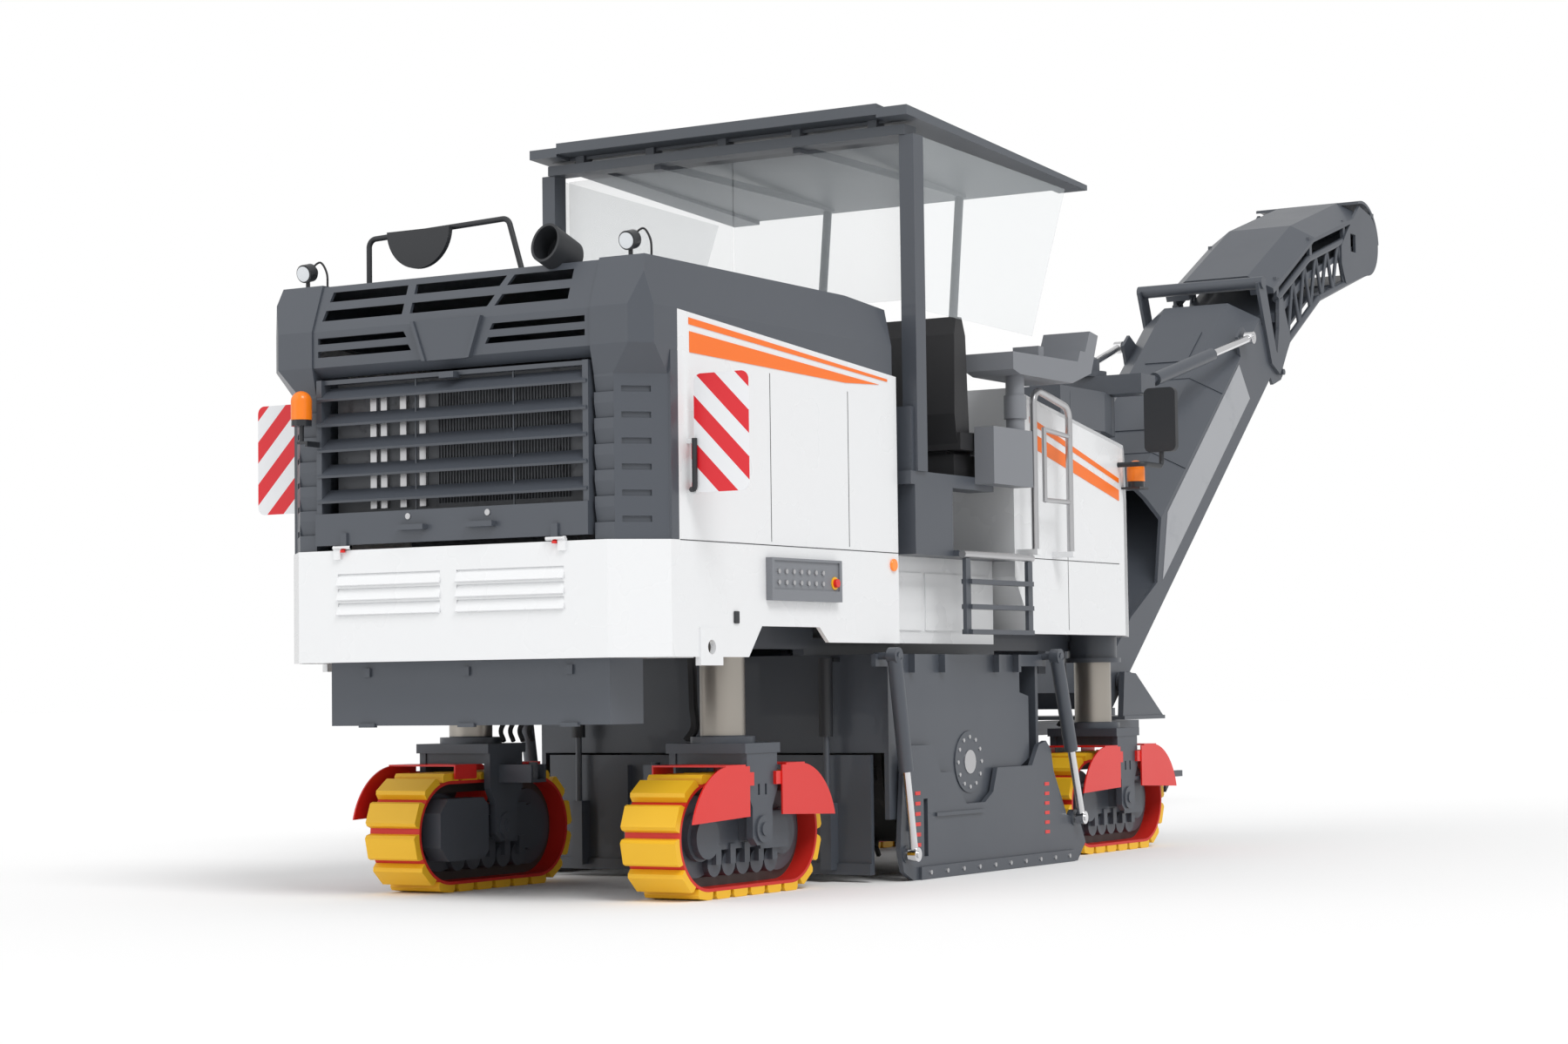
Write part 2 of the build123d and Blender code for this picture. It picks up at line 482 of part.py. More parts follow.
# two opposed screws of picks throw the milled stone to the middle of the drum
PICK_STEP = (DRUM_HALF - 40) / PICK_ROWS
PICK_TWIST = 360 * 1.25 / PICK_ROWS
picks = []
for _, side in SIDES:
    for row in range(PICK_ROWS):
        for start in (0, 180):
            picks.append((side * (40 + row * PICK_STEP), start + side * 35 + row * PICK_TWIST))

with BuildPart() as drum:
    disc((-DRUM_HALF, DRUM_HALF), DRUM_Y, DRUM_Z, DRUM_RADIUS)
    with Locations(*[Location((x, DRUM_Y, DRUM_Z), (turn, 0, 0)) for x, turn in picks]):
        with Locations((0, 0, DRUM_RADIUS + 12)):
            Box(34, 62, 44)
        with Locations(Location((0, -26, DRUM_RADIUS + 22), (48, 0, 0))):
            Box(18, 18, PICK_REACH - DRUM_RADIUS - 14, align=(Align.CENTER, Align.CENTER, Align.MIN))
    disc((-DRUM_HALF - 1, -DRUM_HALF + 170), DRUM_Y, DRUM_Z, 70 + RUNNING, Mode.SUBTRACT)
    disc((DRUM_HALF - 170, DRUM_HALF + 1), DRUM_Y, DRUM_Z, 70 + RUNNING, Mode.SUBTRACT)

BELT_HEAD = (SLEW_Y - 420, 1795, 105)  # y, z and radius of the inner conveyor's head
with BuildPart() as inner_conveyor:
    belt_box = (
        (HOUSING_FRONT + SEAT, 795), (MAST_REAR + 705, 1330), (BELT_HEAD[0] + 50, BELT_HEAD[1] - 92),
        (BELT_HEAD[0] - 50, BELT_HEAD[1] + 92), (MAST_REAR + 555, 1560), (HOUSING_FRONT + SEAT, 1070),
    )
    side_plate(belt_box, (-172, 172))
    disc((-172, 172), *BELT_HEAD)

# ---------------------------------------------------------------- tracks
REACH = TRACK_LENGTH / 2 - TRACK_HEIGHT / 2  # from the middle to each end's centre
AXLE_Z = TRACK_HEIGHT / 2
SHOE_RADIUS = AXLE_Z - PAD_DEPTH
CHAIN_OUT = SHOE_RADIUS - PLATE_DEPTH
CHAIN_IN = CHAIN_OUT - CHAIN_DEPTH
PITCH = (4 * REACH + 2 * pi * SHOE_RADIUS) / SHOE_COUNT
FENDER_X = (224, 232)  # outward of the track's middle
FENDER_TOP = TRACK_HEIGHT + 32
ARM_PLATE = (  # y and z of a yoke arm, from the column's axis
    (-130, YOKE_TOP), (-130, 480), (-85, 400), (-85, 262), (-50, 228), (50, 228), (85, 262), (85, 400), (130, 480),
    (130, YOKE_TOP),
)


PAD_OUTLINE = (  # outward of the shoe and along the loop
    (-6, -PITCH * 0.41), (PAD_DEPTH - 14, -PITCH * 0.41), (PAD_DEPTH, -PITCH * 0.33), (PAD_DEPTH, PITCH * 0.33),
    (PAD_DEPTH - 14, PITCH * 0.41), (-6, PITCH * 0.41),
)


def loop_place(distance, radius):
    """Place on the track's stadium line: y, z and the outward angle in degrees, from the rear top corner."""
    straight, arc = 2 * REACH, pi * radius
    distance %= 2 * (straight + arc)
    if distance < straight:
        return -REACH + distance, AXLE_Z + radius, 90
    distance -= straight
    if distance < arc:
        angle = 90 - degrees(distance / radius)
        return REACH + radius * cos(radians(angle)), AXLE_Z + radius * sin(radians(angle)), angle
    distance -= arc
    if distance < straight:
        return REACH - distance, AXLE_Z - radius, -90
    angle = -90 - degrees((distance - straight) / radius)
    return -REACH + radius * cos(radians(angle)), AXLE_Z + radius * sin(radians(angle)), angle


def stadium(plane, outer, inner):
    """Draws the band between two stadium lines round the track's wheels."""
    with BuildSketch(plane) as band:
        with Locations((0, AXLE_Z)):
            SlotOverall(2 * REACH + 2 * outer, 2 * outer)
            SlotOverall(2 * REACH + 2 * inner, 2 * inner, mode=Mode.SUBTRACT)
    return band.sketch


def write_track(name, side, y):
    """Writes one track: a closed band of steel shoes on a chain, with a bevelled pad on each shoe."""
    x, half = side * TRACK_X, TRACK_WIDTH / 2
    with BuildPart() as track:
        wide = Plane(origin=(x - half, y, 0), x_dir=(0, 1, 0), z_dir=(1, 0, 0))
        narrow = Plane(origin=(x - CHAIN_HALF, y, 0), x_dir=(0, 1, 0), z_dir=(1, 0, 0))
        extrude(stadium(wide, SHOE_RADIUS, CHAIN_OUT), amount=TRACK_WIDTH)
        extrude(stadium(narrow, CHAIN_OUT + 2, CHAIN_IN), amount=2 * CHAIN_HALF)
        with BuildSketch(wide) as pads:
            for shoe in range(SHOE_COUNT):
                u, v, angle = loop_place(shoe * PITCH, SHOE_RADIUS)
                out, along_loop = (cos(radians(angle)), sin(radians(angle))), (-sin(radians(angle)), cos(radians(angle)))
                corners = []
                for rise, reach in PAD_OUTLINE:
                    corners.append((u + rise * out[0] + reach * along_loop[0], v + rise * out[1] + reach * along_loop[1]))
                with BuildLine():
                    Polyline(*corners, close=True)
                make_face()
        extrude(pads.sketch, amount=TRACK_WIDTH)
        slab((x - half - 1, x + half + 1), (y - TRACK_LENGTH, y + TRACK_LENGTH), (-50, 0), Mode.SUBTRACT)
    save(track, f"track_{name}")


def write_leg(name, side, y):
    """Writes one leg: column, yoke, track frame with its drive, wheels and rollers, and the steering arm."""
    x = side * TRACK_X
    with BuildPart() as leg:
        slab((x - 215, x + 215), (y - 150, y + 150), (YOKE_TOP - 45, YOKE_TOP))
        for end in (-1, 1):
            slab((x - 175, x + 175), (y + end * 110, y + end * 122), (YOKE_TOP - 95, YOKE_TOP - 45))
        bar((x, y, YOKE_TOP), (x, y, 1560), COLUMN_RADIUS)
        bar((x, y, YOKE_TOP), (x, y, YOKE_TOP + 30), COLUMN_RADIUS + 45)
        arm = [(y + u, z) for u, z in ARM_PLATE]
        for out in (1, -1):
            side_plate(arm, (x + out * 175, x + out * 210))
            disc((x + out * 210, x + out * 220), y, 300, 62)
            disc((x + out * 220, x + out * 228), y, 300, 30)
        for u in (-38, 22):
            slab((x + side * 174, x + side * 211), (y + u, y + u + 16), (455, 505), Mode.SUBTRACT)
        # frame, sprocket and idler, and the rollers on the chain
        inner = CHAIN_IN - 0.4
        for end in (-1, 1):
            disc((x - 70, x + 70), y + end * REACH, AXLE_Z, inner)
            disc((x - 100, x + 100), y + end * REACH, AXLE_Z, 110)
        slab((x - 115, x + 115), (y - REACH + 60, y + REACH - 60), (215, 400))
        for place in range(5):
            disc((x - 100, x + 100), y + (place - 2) * 120, CHAIN_BOTTOM + 55.4, 55)
            slab((x - 125, x + 125), (y + (place - 2) * 120 - 22, y + (place - 2) * 120 + 22), (150, 240))
        for out in (1, -1):
            slab((x + out * 100, x + out * 176), (y - 60, y + 60), (250, 350))
        slab((x + side * 110, x + side * 140), (y + 90, y + REACH - 10), (205, 375))
        disc((x + side * 95, x + side * 132), y - REACH + 10, AXLE_Z - 5, 95)
        # drive housing on the inner side
        housing = (
            (-REACH - 160, 215), (-REACH - 100, 150), (-175, 150), (-135, 190), (-135, 400), (-175, 440),
            (-REACH - 100, 440), (-REACH - 160, 375),
        )
        side_plate([(y + u, z) for u, z in housing], (x - side * 95, x - side * 205))
        # steering arm towards the middle of the machine
        slab((x - side * 208, x - side * 400), (y - 60, y + 60), (505, 520))
        for end in (-1, 1):
            slab((x - side * 208, x - side * 400), (y + end * 48, y + end * 60), (505, 590))
        bar((x - side * 370, y, 505), (x - side * 370, y, 600), 22)
        if y == FRONT_TRACK_Y:
            # towing bracket ahead of the track
            slab((x + side * 150, x + side * 210), (y + 60, y + 640), (395, 415))
            slab((x + side * 165, x + side * 195), (y + 620, y + 780), (395, 430))
            side_plate(((y + 560, 310), (y + 660, 395), (y + 560, 395)), (x + side * 172, x + side * 188))
    save(leg, f"leg_{name}")


def write_fenders(name, side, y):
    """Writes one track's two fenders: rounded side plates with a strap over the pads."""
    x = side * TRACK_X
    low_x = min(x + side * FENDER_X[0], x + side * FENDER_X[1])
    with BuildPart() as fenders:
        for end in (-1, 1):
            with BuildSketch(Plane.YZ.offset(low_x)) as cheek:
                with BuildLine():
                    Line((y + end * 140, FENDER_TOP), (y + end * 350, FENDER_TOP))
                    ThreePointArc((y + end * 350, FENDER_TOP), (y + end * 522, 500), (y + end * 612, 345))
                    Line((y + end * 612, 345), (y + end * 140, 362))
                    Line((y + end * 140, 362), (y + end * 140, FENDER_TOP))
                make_face()
            extrude(cheek.sketch, amount=FENDER_X[1] - FENDER_X[0])
            slab((x - side * 165, x + side * FENDER_X[1]), (y + end * 175, y + end * 340), (FENDER_TOP, FENDER_TOP + 8))
            slab((x - side * 165, x - side * 157), (y + end * 175, y + end * 340), (FENDER_TOP - 60, FENDER_TOP))
            slab((x - side * 60, x + side * 110), (y + end * 200, y + end * 315), (FENDER_TOP - 1, FENDER_TOP + 9), Mode.SUBTRACT)
            slab((x + side * (210 + SEAT), x + side * 226), (y + end * 95, y + end * 200), (500, 560))
    save(fenders, f"fenders_{name}")


CHAIN_BOTTOM = AXLE_Z - CHAIN_IN  # top of the chain's lower run
for name, side, y, _ in LEGS:
    write_track(name, side, y)
    write_leg(name, side, y)
    write_fenders(name, side, y)

# ---------------------------------------------------------------- side plates and scraper
PLATE_OUTLINE = (
    (2275, 0), (4080, 0), (4180, 95), (4110, 215), (3955, 250), (3806, 490), (3780, 600), (3725, 645), (3640, 625),
    (3560, 520), (3170, 520), (3120, 400), (3030, 350), (2830, 350), (2750, 420), (2700, 512), (2566, 514),
    (2490, 650), (2255, 652), (2190, 560), (2145, 160), (2180, 45),
)
for word, side in SIDES:
    with BuildPart() as plate:
        side_plate(PLATE_OUTLINE, (side * PLATE_X, side * (PLATE_X + PLATE)))
        slab((side * (PLATE_X - 1), side * (PLATE_X + PLATE + 1)), (2385, 2425), (110, 390), Mode.SUBTRACT)
        for _, _, lower in PLATE_JACKS:
            disc((side * PLATE_X, side * (PLATE_X + PLATE + 7)), *lower, 42)
        slab((side * PLATE_X, side * (PLATE_X + PLATE + 15)), (2330, 4020), (0, 62))
        slab((side * PLATE_X, side * (PLATE_X + PLATE + 12)), (2500, 3000), (300, 318))
        slab((side * PLATE_X, side * (PLATE_X + PLATE + 10)), (2220, 2240), (240, 600))
    save(plate, f"side_plate_{word}")
    for name, upper, lower in PLATE_JACKS:
        with BuildPart() as barrel:
            start, end = jack_points(upper, lower, 0), jack_points(upper, lower, 0.58)
            bar((side * JACK_X, *start), (side * JACK_X, *end), 36)
            disc((side * (JACK_X - 26), side * (JACK_X + 26)), *upper, 40)
            bore = jack_points(upper, lower, 0.06)
            bar((side * JACK_X, *bore), (side * JACK_X, *jack_points(upper, lower, 0.59)), 20 + RUNNING, Mode.SUBTRACT)
            disc((side * (JACK_X - 40), side * (JACK_X + 40)), *upper, 18, Mode.SUBTRACT)
        save(barrel, f"plate_jack_{name}_{word}")
        with BuildPart() as rod:
            bar((side * JACK_X, *jack_points(upper, lower, 0.42)), (side * JACK_X, *lower), 20)
            disc((side * (JACK_X - 22), side * (JACK_X + 22)), *lower, 34)
            disc((side * (PLATE_X + PLATE + 7.3), side * (JACK_X + 28)), *lower, 17)
        save(rod, f"plate_rod_{name}_{word}")

SCRAPER_ROD = (730, 2020)  # x and y of the scraper's cylinders

with BuildPart() as scraper:
    slab((-945, 945), (2070, 2098), (35, 610))
    mirrored_slab((700, 760), (2000, 2070), (60, 380))
    for x in (-450, 0, 450):
        slab((x - 12, x + 12), (2030, 2070), (60, 560))
    slab((-945, 945), (2056, 2070), (35, 90))
    for _, side in SIDES:
        bar((side * SCRAPER_ROD[0], SCRAPER_ROD[1], 380), (side * SCRAPER_ROD[0], SCRAPER_ROD[1], 760), 16)

with BuildPart() as scraper_jacks:
    for _, side in SIDES:
        x, y = side * SCRAPER_ROD[0], SCRAPER_ROD[1]
        bar((x, y, 700), (x, y, 1080), 34)
        bar((x, y, 690), (x, y, 1068), 16 + RUNNING, Mode.SUBTRACT)
        slab((side * 700, side * 760), (2050, HOUSING_REAR), (1062, 1080))

# ---------------------------------------------------------------- operator's platform
SWIVEL_X = (HALF_WIDTH + 51, HALF_WIDTH + 161)  # swivel boxes of the consoles
with BuildPart() as platform:
    slab((-HALF_WIDTH + 49, HALF_WIDTH - 49), (PLATFORM_REAR, PLATFORM_FRONT), (FLOOR_Z - 30, FLOOR_Z))
    for _, side in SIDES:
        slab((side * (HALF_WIDTH - 49), side * (HALF_WIDTH + 51)), (2275, 2660), (FLOOR_Z - 30, 1920))
        slab((side * (HALF_WIDTH - 49), side * ROOF_HALF), (2660, PLATFORM_FRONT), (FLOOR_Z - 30, FLOOR_Z))
        slab((side * (HALF_WIDTH - 89), side * (SWIVEL_X[0] - SEAT)), (2235, 3100), (1920, 1985))
        side_plate(
            ((2660, 1640), (2700, 1610), (2700, 1920), (2660, 1920)), (side * (HALF_WIDTH - 49), side * (HALF_WIDTH - 20))
        )

with BuildPart() as seats:
    for _, side in SIDES:
        low, high = side * (HALF_WIDTH - 409), side * (HALF_WIDTH + 41)
        slab((low + side * 60, high - side * 50), (2790, 3120), (1985, 2100))
        cushion = ((2770, 2120), (3240, 2120), (3290, 2150), (3290, 2195), (3240, 2222), (2770, 2205))
        side_plate(cushion, (low, high))
        back = ((2770, 2150), (2900, 2190), (2872, 2700), (2835, 2790), (2775, 2790), (2755, 2700), (2745, 2300))
        side_plate(back, (low + side * 18, high - side * 18))
        slab((low + side * 100, high - side * 100), (2800, 3060), (2085, 2125))

with BuildPart() as consoles:
    for _, side in SIDES:
        inner, outer = SWIVEL_X
        slab((side * inner, side * outer), (2900, 3330), (1950, 2240))
        middle = side * (inner + outer) / 2
        bar((middle, 3250, 2240), (middle, 3250, 2520), 48)
        bar((middle, 3250, 2300), (middle, 3250, 2420), 58)
        desk = (
            (3080, 2540), (3160, 2520), (3760, 2520), (3990, 2590), (4080, 2800), (3980, 2815), (3920, 2700), (3860, 2700),
            (3830, 2640), (3080, 2630),
        )
        side_plate(desk, (side * (HALF_WIDTH - 89), side * (HALF_WIDTH + 186)))
        slab((side * (HALF_WIDTH - 30), side * (HALF_WIDTH + 120)), (3500, 3560), (2625, 2700))
        (low_y, high_y), (low_z, high_z) = PANEL_BOX
        box_x = HALF_WIDTH + SEAT
        slab((side * box_x, side * (box_x + 34)), (low_y, high_y), (low_z, high_z))
        slab(
            (side * (box_x + 26), side * (box_x + 40)), (low_y + 22, high_y - 22), (low_z + 50, high_z - 12), Mode.SUBTRACT
        )

LADDER_HINGE = (ROOF_HALF + 19 + SEAT, 1590)  # x and z of the rail that the ladder hangs on
with BuildPart() as rails:
    for _, side in SIDES:
        x = side * RAIL_X
        rear, front = RAIL_Y
        tube(((x, rear, RAIL_FOOT), (x, rear, 2480), (x, front, 2400), (x, front, RAIL_FOOT)), 19, 70)
        bar((x, rear + 120, 1900), (x, front - 15, 1900), 13)
        bar((x, rear + 120, 2270), (x, front - 15, 2250), 13)
        bar((x, rear + 120, 1890), (x, rear + 120, 2280), 13)
        bar((side * LADDER_HINGE[0], 2660, LADDER_HINGE[1]), (side * LADDER_HINGE[0], 3420, LADDER_HINGE[1]), 19)

with BuildPart() as roof:
    # a main panel with a lower wing on each side, on two crosswise beams
    roof_profile = (
        (ROOF_REAR, ROOF_REAR_Z - 55), (ROOF_REAR, ROOF_REAR_Z), (ROOF_FRONT, ROOF_FRONT_Z), (ROOF_FRONT, ROOF_FRONT_Z - 30),
    )
    side_plate(roof_profile, (-ROOF_HALF + 170, ROOF_HALF - 170))
    wing = (
        (ROOF_REAR, ROOF_REAR_Z - 70), (ROOF_REAR, ROOF_REAR_Z - 22), (ROOF_FRONT, ROOF_FRONT_Z - 22), (ROOF_FRONT, ROOF_FRONT_Z - 50),
    )
    mirrored_plate(wing, (ROOF_HALF - 171, ROOF_HALF))
    slab((-ROOF_HALF + 60, ROOF_HALF - 60), (POST_Y - 60, POST_Y + 60), (ROOF_REAR_Z - 150, ROOF_REAR_Z - 100))
    for x in (-880, -440, 0, 440, 880):
        slab((x - 25, x + 25), (POST_Y - 40, POST_Y + 40), (ROOF_REAR_Z - 105, ROOF_REAR_Z - 35))
    slab((-ROOF_HALF + 60, ROOF_HALF - 60), (POST_Y - 20, POST_Y + 20), (ROOF_REAR_Z - 78, ROOF_REAR_Z - 62))
    for _, side in SIDES:
        slab((side * 400, side * 440), (POST_Y, 4100), (3620, 3660))

with BuildPart() as roof_posts:
    for _, side in SIDES:
        slab(
            (side * (POST_X - 40), side * (POST_X + 40)), (POST_Y - 50, POST_Y + 50), (1985 + SEAT, ROOF_REAR_Z - 150 - SEAT)
        )
        slab((side * (HALF_WIDTH - 48), side * (POST_X + 20)), (POST_Y - 75, POST_Y + 75), (1985 + SEAT, 2300))
        bar((side * 420, 3892.3, 2428.8), (side * 420, 4060, 3616), 24)

with BuildPart() as windows:
    slab((-1020, -4), (POST_Y + 60 + SEAT, POST_Y + 67), (2840, 3620))
    slab((4, 1020), (POST_Y + 60 + SEAT, POST_Y + 67), (2840, 3620))
    side_glass = ((POST_Y + 50 + SEAT, 2780), (3560, 2760), (3980, 3590), (POST_Y + 50 + SEAT, 3640))
    mirrored_plate(side_glass, (POST_X + 23, POST_X + 29))

BEACON_X = HALF_WIDTH + 61
with BuildPart() as lamps:
    for _, side in SIDES:
        x = side * (HALF_WIDTH - 149)
        bar((x, 130, HOOD_TOP + SEAT), (x, 130, HOOD_TOP + 44), 10)
        bar((x, 100, HOOD_TOP + 66), (x, 150, HOOD_TOP + 78), 42)
        bar((x, 149, HOOD_TOP + 78), (x, 166, HOOD_TOP + 82), 30)
    for _, side in SIDES:
        dome((side * BEACON_X, NOSE - 450, 2060), 50, 118)
        bar((side * BEACON_X, NOSE - 450, 2028), (side * BEACON_X, NOSE - 450, 2060), 46)
        slab((side * (HALF_WIDTH + SEAT), side * (HALF_WIDTH + 113)), (NOSE - 515, NOSE - 400), (2016, 2028))

MIRROR_Y = 330
with BuildPart() as mirrors:
    for _, side in SIDES:
        x = side * (HALF_WIDTH + 151)
        with BuildSketch(Plane(origin=(x, NOSE - 280, 2410), x_dir=(1, 0, 0), z_dir=(0, -1, 0))) as glass:
            RectangleRounded(190, 360, 34)
        extrude(glass.sketch, amount=38)
        tube(
            (
                (side * HALF_WIDTH, NOSE - 550, 2150), (x, NOSE - 550, 2150), (x, NOSE - 300, 2150),
                (x, NOSE - 300, 2300),
            ),
            14, 30,
        )
    # half-round mirror over the rear hood
    top = HOOD_TOP + 252
    with BuildSketch(Plane(origin=(-385, MIRROR_Y - 13 - SEAT, top), x_dir=(1, 0, 0), z_dir=(0, -1, 0))) as half_round:
        Circle(180)
        with Locations((0, 100)):
            Rectangle(400, 200, mode=Mode.SUBTRACT)
    extrude(half_round.sketch, amount=26)
    stem = ((-700, HOOD_TOP - 0.7), (-700, top - 18), (100, top + 12), (180, HOOD_TOP + 3))
    tube([(x, MIRROR_Y, z) for x, z in stem], 13, 40)

BOARD_PIVOT = (HALF_WIDTH + 29, 345)  # x and y of the warning boards' pivots
BOARD_X, BOARD_Z = (HALF_WIDTH + 43, HALF_WIDTH + 321), (1785, 2300)
for word, side in SIDES:
    with BuildPart() as board:
        x, y = BOARD_PIVOT
        middle = (side * (BOARD_X[0] + BOARD_X[1]) / 2, y - 21, (BOARD_Z[0] + BOARD_Z[1]) / 2)
        with BuildSketch(Plane(origin=middle, x_dir=(1, 0, 0), z_dir=(0, -1, 0))) as face:
            RectangleRounded(BOARD_X[1] - BOARD_X[0], BOARD_Z[1] - BOARD_Z[0], 38)
        extrude(face.sketch, amount=4)
        bar((side * x, y, 1800), (side * x, y, 2000), 14)
        slab((side * x, side * (BOARD_X[1] - 120)), (y - 21, y - 9), (1880, 1910))
    save(board, f"warning_board_{word}")

for word, side in SIDES:
    with BuildPart() as ladder:
        x = LADDER_HINGE[0]
        for y in (2700, 3380):
            slab((side * (x - 9), side * (x + 11)), (y - 25, y + 25), (1195, LADDER_HINGE[1] - 19 - SEAT))
        for z in (1205, 1330, 1455):
            slab((side * (x - 29), side * (x + 31)), (2700, 3380), (z - 12, z + 12))
    save(ladder, f"ladder_{word}")

# ---------------------------------------------------------------- discharge conveyor
RUN, RISE = cos(radians(SLOPE)), sin(radians(SLOPE))
FORK_Z = 724  # underside of the slewing fork's base


def along(s, n):
    """Point (y, z) at a distance s up the conveyor's lower edge and n square to it."""
    return (FOOT[0] + s * RUN - n * RISE, FOOT[1] + s * RISE + n * RUN)


def across_belt(outline, s, mode=Mode.ADD):
    """Adds a prism with a cross-section of (x, n) points, between two distances up the conveyor."""
    plane = Plane(origin=(0, *along(s[0], 0)), x_dir=(-1, 0, 0), z_dir=(0, RUN, RISE))
    outline_on(plane, outline, s[1] - s[0], mode)


with BuildPart() as slew_fork:
    bar((0, SLEW_Y, ARM_TOP + 0.4), (0, SLEW_Y, ARM_TOP + 75), 120)
    slab((-500, 500), (LUFF_PIN[0] - 100, SLEW_Y - 70), (FORK_Z, FORK_Z + 22))
    bar((0, SLEW_Y, ARM_TOP - 15), (0, SLEW_Y, ARM_TOP + 95), 45 + RUNNING, Mode.SUBTRACT)
    cheek = (
        (LUFF_PIN[0] - 100, FORK_Z + 16), (SLEW_Y - 70, FORK_Z + 16), (LUFF_PIN[0] + 90, 1000), (LUFF_PIN[0] - 70, 1010),
    )
    mirrored_plate(cheek, (455, 490))
    for _, side in SIDES:
        disc((side * 428, side * 490), *LUFF_PIN, 60)
        disc((side * 385, side * 490), *LUFF_PIN, 25)

with BuildPart() as slew_head:
    slab((-385, 385), (SLEW_Y - 75, SLEW_Y + 130), (2730, 2850))
    bar((0, SLEW_Y, 2720.4), (0, SLEW_Y, 2740), 95)
    bar((0, SLEW_Y, 2850), (0, SLEW_Y, 2885), 105)
    bar((0, SLEW_Y, 2700), (0, SLEW_Y, 2900), 62 + RUNNING, Mode.SUBTRACT)
    for _, side in SIDES:
        slab(
            (side * (LUFF_X[0] - 32), side * (LUFF_X[0] + 32)), (SLEW_Y + 5, SLEW_Y + 140), (2700, 2900), Mode.SUBTRACT
        )
        disc((side * (LUFF_X[0] - 40), side * (LUFF_X[0] + 40)), *LUFF_LOWER, 18 - RUNNING)

LOWER_RUN = (60, 3560)  # the lower section, along its lower edge
HOPPER_LIP = (SLEW_Y + 30, 1560)  # top of the hopper's low side walls
COVER_REAR = (SLEW_Y + 131, 2087)  # where the cover starts above them
BELT_RISE = 130  # top of the belt's bed
LUG = (3225, 472)  # the luffing cylinders' upper eyes, along the conveyor and square to it
with BuildPart() as conveyor_lower:
    half, top = CONVEYOR_HALF, COVER_HALF
    outer = ((-half, 0), (-half, WALL_RISE), (-top, COVER_RISE), (top, COVER_RISE), (half, WALL_RISE), (half, 0))
    across_belt(outer, LOWER_RUN)
    inner = (
        (-half + 20, BELT_RISE), (-half + 20, WALL_RISE - 8), (-top + 6, COVER_RISE - 20), (top - 6, COVER_RISE - 20),
        (half - 20, WALL_RISE - 8), (half - 20, BELT_RISE),
    )
    across_belt(inner, (LOWER_RUN[0] - 9, LOWER_RUN[1] + 9), Mode.SUBTRACT)
    under_belt = ((-half + 45, -9), (-half + 45, BELT_RISE - 30), (half - 45, BELT_RISE - 30), (half - 45, -9))
    across_belt(under_belt, (LOWER_RUN[0] + 250, LOWER_RUN[1] + 9), Mode.SUBTRACT)
    # the hopper is open above its low walls
    open_top = (
        along(-200, 230), along(640, 230), HOPPER_LIP, COVER_REAR, (COVER_REAR[0], 2700), (FOOT[0] - 900, 2700),
    )
    side_plate(open_top, (-half - 9, half + 9), Mode.SUBTRACT)
    # rollers under the belt, ribs and hatches on the cover
    for place in range(6):
        disc((-half + 40, half - 40), *along(520 + place * 540, 40), 30)
    for s in (2150, 2900):
        hatch = ((-150, COVER_RISE - 1), (-150, COVER_RISE + 7), (150, COVER_RISE + 7), (150, COVER_RISE - 1))
        across_belt(hatch, (s, s + 330))
    for s in (1900, 2700):
        across_belt([(x * 1.012, n + 4) for x, n in outer[1:5]], (s, s + 40))
    lug = (along(LUG[0] - 150, 300), along(LUG[0] + 150, 300), along(LUG[0] + 60, 525), along(LUG[0] - 60, 525))
    mirrored_plate(lug, (half - 20, half))
    for _, side in SIDES:
        disc((side * 380, side * 430), *LUFF_PIN, 25 + RUNNING, Mode.SUBTRACT)
        disc((side * 410, side * (half + 2)), *LUFF_UPPER, 52)
    # hinge ears of the fold, and the frame over it
    y, z = FOLD_PIN
    ears = (along(3440, 10), along(3560, 60), (y + 30, z + 55), (y + 55, z), (y, z - 52), along(3440, -60))
    mirrored_plate(ears, (half - 20, half))
    cheek = ((y - 420, z + 560), (y - 305, z + 610), (y - 120, z + 130), (y, z + 60), (y - 60, z - 20), (y - 200, z + 40))
    mirrored_plate(cheek, (half, half + 22))
    disc((-half - 35, half + 35), y - 350, z + 570, 42)
    for _, side in SIDES:
        disc((side * 390, side * 445), y, z, 20 + RUNNING, Mode.SUBTRACT)

# The upper section's lines, as y and z from the fold's pin
COVER_LINE = ((-90, 660), (700, 1101), (1620, 1380))
UPPER_CHORD = ((60, 505), (650, 845), (1380, 1070))
LOWER_CHORD = ((70, 130), (830, 590), (1760, 870))


def from_pin(points):
    """Moves points from the fold's pin to the machine's lengths."""
    return [(FOLD_PIN[0] + y, FOLD_PIN[1] + z) for y, z in points]


def line_point(line, y):
    """Height of a bent line at a distance from the fold's pin."""
    for (y0, z0), (y1, z1) in zip(line, line[1:]):
        if y <= y1 or (y1, z1) == line[-1]:
            return z0 + (z1 - z0) * (y - y0) / (y1 - y0)


